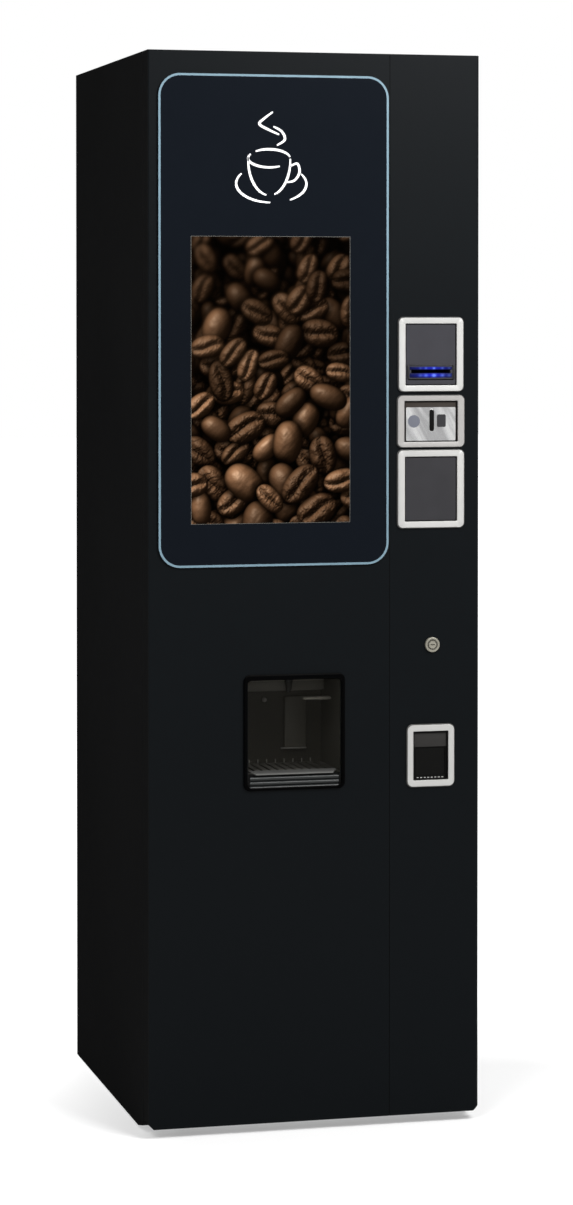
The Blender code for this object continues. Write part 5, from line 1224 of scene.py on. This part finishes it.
@dataclass
class NoteReader:
    """The note reader's nose: its plate, the dark mouth of the slot and the two lit bars above and below it."""

    bar_heights: tuple[float, float] = (0.0052, 0.0078)
    bar_gap: float = 0.0004
    bar_margin: float = 0.006
    proud: float = 0.0011
    ledge: float = 0.0012
    columns: int = 110
    rows: int = 10
    blue: Colour = (0.016, 0.030, 0.95)
    lamp: Colour = (0.20, 0.32, 1.0)
    unlit: Colour = (0.004, 0.005, 0.022)
    dots: tuple[tuple[float, float], ...] = ((0.57, 1.0), (0.38, 0.45), (0.77, 0.40), (0.25, 0.25), (0.93, 0.22))

    def build(self) -> None:
        """Builds and dresses the nose."""
        dress(Finishes.GREY_PLATE, "bill_validator")
        nose, slot = Box.around("bill_validator"), Box.opening("bill_slot")
        self.left, self.right, front = nose.low[0], nose.high[0], nose.low[1]
        self.front = front
        top_height, low_height = self.bar_heights
        foot, head = slot.low[2] - self.bar_gap, slot.high[2] + self.bar_gap
        self.lit_bar("note_light_upper", head, head + top_height, 0.80)
        self.lit_bar("note_light_lower", foot - low_height, foot, 1.0)
        lip, ledge = slot.low[2] - low_height - 0.0024, slot.high[2] + top_height + 0.0030
        left, right, back = self.left + 0.003, self.right - 0.003, front + 0.001
        # A near-black strip on the plate under the lower bar: the groove's shade, painted.
        groove = block("note_reader_groove", (left, front - HAIR, lip - 0.0022), (right, back, lip), 0.0001)
        fit(groove, Finishes.PIT)
        over = block("note_reader_ledge", (left, front - 0.0009, ledge), (right, back, ledge + self.ledge), 0.0004)
        fit(over, Finishes.GREY_PLATE)
        cheeks = [
            block(f"note_cheek_{side}", (x, front - 0.0016, lip), (x + 0.0032, back, ledge))
            for side, x in (("left", self.left + 0.0016), ("right", self.right - 0.0048))
        ]
        fit(merged("note_reader_cheeks", cheeks), Finishes.DARK_PLASTIC)

    def lit_bar(self, name: str, low: float, high: float, strength: float) -> None:
        """A clear bar lit blue from behind, brightest over its lamps.

        Args:
            name: the piece's name.
            low: its lower edge.
            high: its upper edge.
            strength: how bright it is beside the lower bar.
        """
        left, right = self.left + self.bar_margin, self.right - self.bar_margin
        share_x, share_z = np.meshgrid(np.linspace(0, 1, self.columns), np.linspace(0, 1, self.rows))
        curve = np.sqrt(np.clip(1 - (2 * share_z - 1) ** 2, 0, 1)) * np.clip(40 * share_x * (1 - share_x), 0, 1)
        xs, zs = left + share_x * (right - left), low + share_z * (high - low)
        points = np.stack([xs, self.front - HAIR - self.proud * curve, zs], axis=-1)
        wash = np.exp(-(((share_x - 0.52) / 0.30) ** 2))
        band = 0.25 + 0.75 * np.exp(-(((share_z - 0.55) / 0.26) ** 2))
        colour = (0.62 * wash * band)[..., None] * np.array(self.blue) + np.array(self.unlit)
        aspect = (right - left) / (high - low)
        for at, bright in self.dots:
            spot = np.exp(-(((share_x - at) * aspect / 0.42) ** 2) - ((share_z - 0.5) / 0.30) ** 2)
            colour = colour + (bright * spot)[..., None] * np.array(self.lamp)
        mesh = painted_sheet(name, points, colour * strength)
        mesh.shade_smooth()
        fit(new_piece(name, mesh), Finishes.BLUE_LIGHT)


@dataclass
class CoinFace:
    """The coin plate in its recess, with its blank disc, and the return button."""

    disc_radius: float = 0.0106
    disc_offset: float = -0.0301
    disc_height: float = 0.0046  # above the middle of the plate
    rim: float = 0.0009
    slot_size: Point = (0.0082, 0.0372)
    inset: Point = (0.012, 0.009)

    def build(self) -> None:
        """Builds and dresses the plate's details."""
        dress(Finishes.COIN_STEEL, "coin_plate")
        dress(Finishes.BLANK_PLATE, "coin_return_button")
        dress(Finishes.GREY_PLASTIC, "coin_mechanism")
        plate, bezel, slot = Box.around("coin_plate"), Box.around("coin_bezel"), Box.opening("coin_slot")
        front, seat = plate.low[1], bezel.high[1]
        x, z = plate.face_middle
        profile = [(0.0, 0.0), (self.disc_radius, 0.0), (self.disc_radius, 2.2 * HAIR), (0.0, 2.6 * HAIR)]
        disc = turned("plain_disc", profile, (x + self.disc_offset, front, z + self.disc_height), "Y", 40)
        fit(disc, Finishes.PLAIN_DISC)
        sections = []
        for inset, y in ((-self.rim, 0.0), (-self.rim, -0.00035), (-0.0002, -0.0005), (0.0, 0.0)):
            size = tuple(side - 2 * inset for side in self.slot_size)
            sections.append((slot.face_middle, size, self.slot_size[0] / 2 - inset, y))
        fit(moulding("coin_slot_rim", front, 8, sections), Finishes.COIN_STEEL)
        # A brown-black sheet behind the plate inside the bezel: painted shade in the recess round the plate.
        wide, tall = self.inset
        low = (bezel.low[0] + wide, seat - 0.0002, bezel.low[2] + tall)
        high = (bezel.high[0] - wide, seat + 0.00005, bezel.high[2] - tall)
        fit(block("coin_recess", low, high, 0.00005), Finishes.RECESS)
        # A near-black sheet behind the coin slot: painted shade for the slot's depth.
        low = (slot.low[0] - 0.001, seat - 0.0004, slot.low[2] - 0.002)
        high = (slot.high[0] + 0.001, seat - 0.0002, slot.high[2] + 0.002)
        fit(block("coin_slot_pit", low, high, 0.00005), Finishes.PIT)


@dataclass
class CoinReturn:
    """The coin return: a grey plate over its flap and a row of small ribs under it."""

    plate_width: float = 0.0585
    plate_low: float = 0.0022
    plate_top: float = 0.0385
    ribs: int = 8
    rib_pitch: float = 0.0063

    def build(self) -> None:
        """Builds and dresses the return."""
        dress(Finishes.DEEP_PLASTIC, "return_cup", "coin_return_flap")
        flap, front = Box.around("coin_return_flap"), Box.around("return_cup").low[1]
        x, half = flap.middle[0], self.plate_width / 2
        low = (x - half, front - 0.0012, flap.high[2] + self.plate_low)
        high = (x + half, front - 0.0001, Box.around("return_bezel").middle[2] + self.plate_top)
        fit(block("return_plate", low, high, 0.0003), Finishes.RETURN_PLATE)
        grid = {"columns": self.ribs, "pitch_across": self.rib_pitch, "turn": FACING_FRONT}
        bar = {"length": 0.0031, "width": 0.0013, "height": 0.0012}
        centre = (x, front - 0.0006, flap.low[2] - 0.0032)
        tree = Repeat("return_ribs", bar_part, BAR_SIZES)
        fit(tree.piece("return_ribs", Finishes.SILVER, centre=centre, **grid, **bar), Finishes.SILVER)


@dataclass
class Lock:
    """The door lock: a turned collar with a groove, round the keyed plug."""

    plug_radius: float = 0.0068
    barrel_radius: float = 0.0095
    groove: float = 0.0086

    def build(self) -> None:
        """Turns the collar and barrel in place of the plain ones."""
        dress(Finishes.LOCK_FACE, "lock_plug")
        body = Box.around("lock_body")
        front, back, radius = body.low[1], body.high[1], body.size[0] / 2
        x, z = body.face_middle
        seat = Box.around("payment_panel").low[1] - 0.0003
        plug, barrel = self.plug_radius, self.barrel_radius
        outline = [
            (plug, back), (barrel, back), (barrel, seat), (radius, seat), (radius, front + 0.0016),
            (radius - 0.0006, front + 0.0005), (radius - 0.0018, front), (radius - 0.0034, front + 0.0002),
            (radius - 0.0042, front + 0.0012), (plug + 0.0010, front + 0.0013), (plug + 0.0004, front + 0.0005),
            (plug, front + 0.0008), (plug, back),
        ]
        collar = turned("lock_collar", [(r, -y) for r, y in outline], (x, 0.0, z), "Y", 56)
        fit(collar, Finishes.LOCK_FACE)

        def within(face: Face) -> bool:
            """Whether a face lies inside the groove."""
            return math.hypot(face.center.x - x, face.center.z - z) < self.groove

        banded(collar, Finishes.LOCK_DARK, within)
        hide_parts("lock_body")


@dataclass
class CupWindow:
    """The cup window: its round-cornered surround, the ledge and ridged bars of the sill, and what is inside."""

    side: float = 0.0057
    top: float = 0.0093
    foot: float = 0.0052
    corners: Point = (0.0110, 0.0085)  # the surround's corner radius outside and inside
    profile: tuple[Point, ...] = (
        (0.0, 0.0047), (0.0, 0.0022), (0.10, 0.0006), (0.24, 0.0), (0.80, 0.0), (0.94, 0.0005), (1.0, 0.0018),
        (1.0, 0.0047),
    )
    sill_inset: float = 0.00525
    bar_height: float = 0.0068
    bar_pitch: float = 0.0079
    bars: int = 3
    ledge_low: float = 0.0280  # above the foot of the window, at the ledge's front and back
    ledge_high: float = 0.0322
    ledge_taper: float = 0.0100
    back_wall: float = 0.0034  # from the back of the station to the face of its rear wall

    def build(self) -> None:
        """Builds and dresses the window."""
        dress(Finishes.DARK_PLASTIC, "cup_window_frame")
        dress(Finishes.STATION, "cup_station")
        dress(Finishes.GRILLE, "drip_grille")
        dress(Finishes.SMOKED, "cup_flap")
        self.box = Box.around("cup_window_frame")
        self.front, self.x = self.box.low[1], self.box.middle[0]
        self.surround()
        self.sill()
        self.inside()

    def surround(self) -> None:
        """The moulded frame, which stands in for the plain one."""
        low, high = self.box.low, self.box.high
        inner = Box((low[0] + self.side, 0.0, low[2] + self.foot), (high[0] - self.side, 0.0, high[2] - self.top))

        def between(outside: Point, inside: Point, share: float) -> Point:
            """A pair of measures, part of the way from the outside to the inside."""
            return tuple(far * (1 - share) + near * share for far, near in zip(outside, inside, strict=True))

        sections = []
        for share, back in self.profile:
            centre = between(self.box.face_middle, inner.face_middle, share)
            size = between(self.box.face_size, inner.face_size, share)
            sections.append((centre, size, self.corners[0] * (1 - share) + self.corners[1] * share, back))
        ring = moulding("window_surround", self.front, 8, sections)
        fit(ring, Finishes.GLOSS_BLACK)
        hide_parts("cup_window_frame")

    def sill(self) -> None:
        """The bright sloped ledge, the ridged bars under it, and near-black blocks between and beside the bars as
        painted shade.
        """
        half = self.box.size[0] / 2 - self.side - self.sill_inset
        x, y, foot = self.x, self.front, self.box.low[2]
        bottom, low, high = foot + 0.0043, foot + self.ledge_low, foot + self.ledge_high
        near = half - self.ledge_taper
        outline = [
            (y + 0.0008, low - 0.0012, near), (y + 0.0008, low, near), (y + 0.0014, low + 0.0006, near + 0.0003),
            (y + 0.0178, high, half), (y + 0.0178, high - 0.0016, half),
        ]
        sides = [[(x + way * reach, back, z) for back, z, reach in outline] for way in (-1, 1)]
        fit(lofted("sill_ledge", sides), Finishes.SILL)
        grid = {"rows": self.bars, "pitch_up": self.bar_pitch, "turn": FACING_FRONT}
        bar = {"length": 2 * half, "width": self.bar_height, "height": 0.0062}
        centre = (x, y + 0.0054, bottom + self.bar_pitch)
        tree = Repeat("sill_bars", rounded_bar_part, BAR_SIZES)
        bars = tree.piece("sill_bars", Finishes.SILL_BAR, centre=centre, **grid, **bar)
        fit(bars, Finishes.SILL_BAR)
        # Near-black blocks behind the bars and at their ends: painted shade under the ledge and between the bars.
        near, far = (x - half - 0.004, y + 0.0086, bottom - 0.001), (x + half + 0.004, y + 0.0094, low - 0.0014)
        fit(block("sill_tray", near, far), Finishes.PIT)
        ends = [
            block(f"sill_end_{side}", (left, y + 0.004, bottom), (left + 0.0044, y + 0.0094, low - 0.003), 0.0008)
            for side, left in (("left", x - half - 0.0048), ("right", x + half + 0.0004))
        ]
        fit(merged("sill_ends", ends), Finishes.PIT)

    def inside(self) -> None:
        """The station's liner: a panel with a bright foot, a bracket, a hood, a spout, ribs and the cup sensor, all
        lightened with painted light that stands for a lamp inside the station.
        """
        station = Box.around("cup_station")
        x, y, back = self.x, station.low[1], station.high[1] - self.back_wall
        foot, head = station.low[2], station.high[2]
        panel, trim = Finishes.STATION_PANEL, Finishes.STATION_TRIM
        blocks = (
            ("station_back_panel", panel, 0.0195, 0.0580, back - 0.006, back, foot + 0.0368, foot + 0.1250, 0.0020),
            ("station_panel_foot", trim, 0.0130, 0.0580, back - 0.010, back, foot + 0.0348, foot + 0.0368, 0.0006),
            ("station_bracket", panel, 0.0250, 0.0730, y + 0.030, y + 0.046, head - 0.0430, head - 0.0385, 0.0008),
            ("station_hood", panel, -0.0765, 0.0765, y + 0.090, y + 0.0935, head - 0.0330, head - 0.002, 0.0008),
        )
        for name, finish, left, right, near, far, low, high, bevel in blocks:
            fit(block(name, (x + left, near, low), (x + right, far, high), bevel), finish)
        profile = [(0.0, -0.030), (0.0045, -0.030), (0.0070, -0.012), (0.0085, 0.0), (0.0, 0.0)]
        spout = turned("station_spout", profile, (x + 0.010, y + 0.075, head - 0.004), "Z", 32)
        fit(spout, Finishes.DARK_PLASTIC)
        profile = [(0.0, 0.0), (0.0042, 0.0), (0.0042, 0.003), (0.0030, 0.0042), (0.0, 0.0046)]
        fit(turned("cup_sensor", profile, (x - 0.0160, back - 0.0005, foot + 0.1205), "Y", 24), trim)
        grid = {"columns": 8, "pitch_across": 0.0157, "turn": FACING_FRONT}
        bar = {"length": 0.0016, "width": 0.0085, "height": 0.0022}
        centre = (x + 0.0120, back - 0.0010, foot + 0.0125)
        tree = Repeat("station_ribs", bar_part, BAR_SIZES)
        fit(tree.piece("station_ribs", trim, centre=centre, **grid, **bar), trim)


@dataclass
class Cabinet:
    """The cabinet's sheets and feet, with the screws of its rear panel, upper shelf and fan."""

    screw_head: float = 0.0032
    rear_margin: float = 0.012
    rear_screws: int = 9

    def build(self) -> None:
        """Dresses the sheets and lays the screws."""
        sheet_copy("main_panel")
        sheet_copy("payment_panel")
        # The door frame, seen through the seam, is black paint that also does the seam's shade: partly painted shade.
        dress(Finishes.DULL_PAINT, "left_side_panel", "right_side_panel", "door_frame", "rear_panel", "top_panel")
        dress(Finishes.BLANK_PLATE, "blank_plate")
        dress(Finishes.ZINC, "base_tray", "mid_shelf", "upper_shelf", "coin_box")
        dress(Finishes.RUBBER, *(f"levelling_foot_{number}" for number in (1, 2, 3, 4)))
        # The hinge leaves, seen in the gap at the door's left edge, are black paint that also does the gap's shade:
        # partly painted shade.
        dress(Finishes.DULL_PAINT, "cabinet_hinge_leaf", "door_hinge_leaf")
        dress(Finishes.BRIGHT_STEEL, "hinge_pin")
        dress(Finishes.DARK_PLASTIC, "mains_inlet", "fan_frame", "fan_rotor")
        dress(Finishes.BRASS, "water_inlet_valve")
        self.screws = Repeat("screws", screw_part, SCREW_SIZES)
        self.seam_seal()
        self.rear()
        self.fan()
        self.shelves()

    def seam_seal(self) -> None:
        """A near-black strip behind the seam between the door's two sheets: painted shade in the gap."""
        panel, left = Box.around("payment_panel"), Box.around("main_panel").high[0]
        low = (left + HAIR, panel.low[1] + 0.0008, panel.low[2] + 0.002)
        high = (panel.low[0] - HAIR, panel.low[1] + 0.0014, panel.high[2] - 0.002)
        fit(block("seam_seal", low, high, 0.0001), Finishes.PIT)

    def row(self, name: str, turn: Place, centre: Place, **values: object) -> None:
        """Lays a grid of screws on a face.

        Args:
            name: the piece's name.
            turn: which way the face looks.
            centre: the grid's middle.
            values: more inputs of the tree.
        """
        steel, turns = Finishes.BRIGHT_STEEL, {"head": self.screw_head, "wobble": ANY_WAY}
        piece = self.screws.piece(name, steel, turn=turn, centre=centre, **turns, **values)
        fit(piece, steel, Body.CABINET)

    def rear(self) -> None:
        """Two columns of screws down the rear panel and a row along its top and bottom."""
        panel = Box.around("rear_panel")
        width, height = (side - 2 * self.rear_margin for side in panel.face_size)
        centre = (0.0, panel.high[1] - 0.0002, panel.middle[2])
        pitch = height / (self.rear_screws - 1)
        sides = {"columns": 2, "rows": self.rear_screws, "pitch_across": width, "pitch_up": pitch, "dome": 0.22}
        self.row("rear_side_screws", FACING_BACK, centre, seed=3, **sides)
        ends = {"columns": 3, "rows": 2, "pitch_across": width / 4, "pitch_up": height, "dome": 0.22}
        self.row("rear_end_screws", FACING_BACK, centre, seed=5, **ends)

    def fan(self) -> None:
        """Four screws at the fan's corners, seen from inside."""
        fan = Box.around("fan_frame")
        pitch = fan.size[0] - 0.015
        grid = {"columns": 2, "rows": 2, "pitch_across": pitch, "pitch_up": pitch, "dome": 0.3}
        self.row("fan_screws", FACING_FRONT, (fan.middle[0], fan.low[1] + 0.0002, fan.middle[2]), seed=7, **grid)

    def shelves(self) -> None:
        """Screws along the front lip of the upper shelf."""
        shelf = Box.around("upper_shelf")
        grid = {"columns": 5, "rows": 1, "pitch_across": shelf.size[0] / 5.5, "dome": 0.3}
        centre = (shelf.middle[0], shelf.low[1] + 0.0002, shelf.middle[2])
        self.row("shelf_screws", FACING_FRONT, centre, seed=9, **grid)


@dataclass
class Works:
    """What stands behind the door: the beans and powders, and the finishes of every device."""

    bean: float = 0.0052
    bean_pitch: float = 0.0108
    bean_level: float = 0.020  # how deep the beans' bed is
    bean_rise: float = 0.0055  # from one layer of beans to the next
    powder_level: float = 0.030
    powder_share: float = 0.62  # how full a canister is

    def build(self) -> None:
        """Dresses the devices and fills the hopper and canisters."""
        dress(Finishes.BRIGHT_STEEL, "boiler", "water_pump")
        dress(Finishes.ZINC, "control_box")
        dress(Finishes.CLEAR_PLASTIC, "bean_hopper", "canister_1", "canister_2", "cup_turret")
        dress(Finishes.GREY_PLASTIC, "grinder", "brew_unit", "mixing_bowl_1", "mixing_bowl_2")
        dress(Finishes.DARK_PLASTIC, "waste_bucket", "nozzle_arm", "hopper_lid")
        dress(Finishes.WHITE_PLASTIC, "brewer_piston", "auger_1", "auger_2", "whipper_1", "whipper_2")
        self.beans()
        self.powder("canister_1", Finishes.COCOA)
        self.powder("canister_2", Finishes.MILK)

    def beans(self) -> None:
        """A heap of beans in the hopper: a few flat layers of beans, each turned its own way, on a solid bed."""
        hopper = Box.opening("bean_hopper")
        tree = Repeat("hopper_beans", bean_part, SCREW_SIZES)
        grid = {"columns": 11, "rows": 11, "pitch_across": self.bean_pitch, "pitch_up": self.bean_pitch}
        x, y, level = hopper.middle[0], hopper.middle[1], hopper.low[2] + self.bean_level
        layers = []
        for number in range(3):
            centre = (x + 0.001 * number, y, level + self.bean_rise * number)
            turns = {"head": self.bean, "dome": 0.55, "wobble": ANY_WAY, "seed": 21 + number}
            layers.append(tree.piece(f"bean_layer_{number}", Finishes.BEAN, centre=centre, **grid, **turns))
        fit(merged("hopper_beans", layers), Finishes.BEAN, Body.CABINET)
        low, high = hopper.low, hopper.high
        bed = block("bean_bed", (low[0], low[1], low[2] - 0.002), (high[0], high[1], level), 0.004, 3)
        fit(bed, Finishes.BEAN, Body.CABINET)

    def powder(self, node: str, finish: Finishes) -> None:
        """A mound of powder in a canister, higher at the middle and rippled by a formula."""
        box = Box.opening(node)
        width, depth, height = box.size[0] - 0.001, box.size[1] - 0.001, box.size[2]
        level = box.low[2] + height * self.powder_share
        shape = bmesh.new()
        bmesh.ops.create_grid(shape, x_segments=24, y_segments=48, size=0.5)
        for point in shape.verts:
            x, y = point.co.x, point.co.y
            mound = self.powder_level * math.cos(x * 2.6) * math.cos(y * 2.4)
            ripple = 0.0012 * math.sin(x * 41 + 3 * math.sin(y * 17)) * math.sin(y * 37)
            point.co = Vector((box.middle[0] + x * width, box.middle[1] + y * depth, level + mound + ripple))
        rim = [edge for edge in shape.edges if edge.is_boundary]
        for point in bmesh.ops.extrude_edge_only(shape, edges=rim)["geom"]:
            if isinstance(point, bmesh.types.BMVert):
                point.co.z = box.low[2] + 0.001
        bmesh.ops.contextual_create(shape, geom=[edge for edge in shape.edges if edge.is_boundary])
        fit(from_bmesh(node + "_powder", shape), finish, Body.CABINET)


def main() -> None:
    """Builds the studio and every sub-assembly in order."""
    logging.basicConfig(level=logging.INFO, format="%(message)s", force=True)
    silver, champagne = Finishes.SILVER, Finishes.CHAMPAGNE
    assemblies = [
        Studio(),
        Cabinet(),
        Fascia(),
        Bezel("bill_bezel", 0.01475, 0.01275, silver),
        Bezel("coin_bezel", 0.0145, 0.0113, champagne),
        Bezel("blank_bezel", 0.0152, 0.01355, silver),
        Bezel("return_bezel", 0.01295, 0.01375, silver, corner=0.0105),
        NoteReader(),
        CoinFace(),
        CoinReturn(),
        Lock(),
        CupWindow(),
        Works(),
    ]
    for assembly in assemblies:
        LOG.info("building %s", type(assembly).__name__)
        assembly.build()


if __name__ == "__main__":
    main()
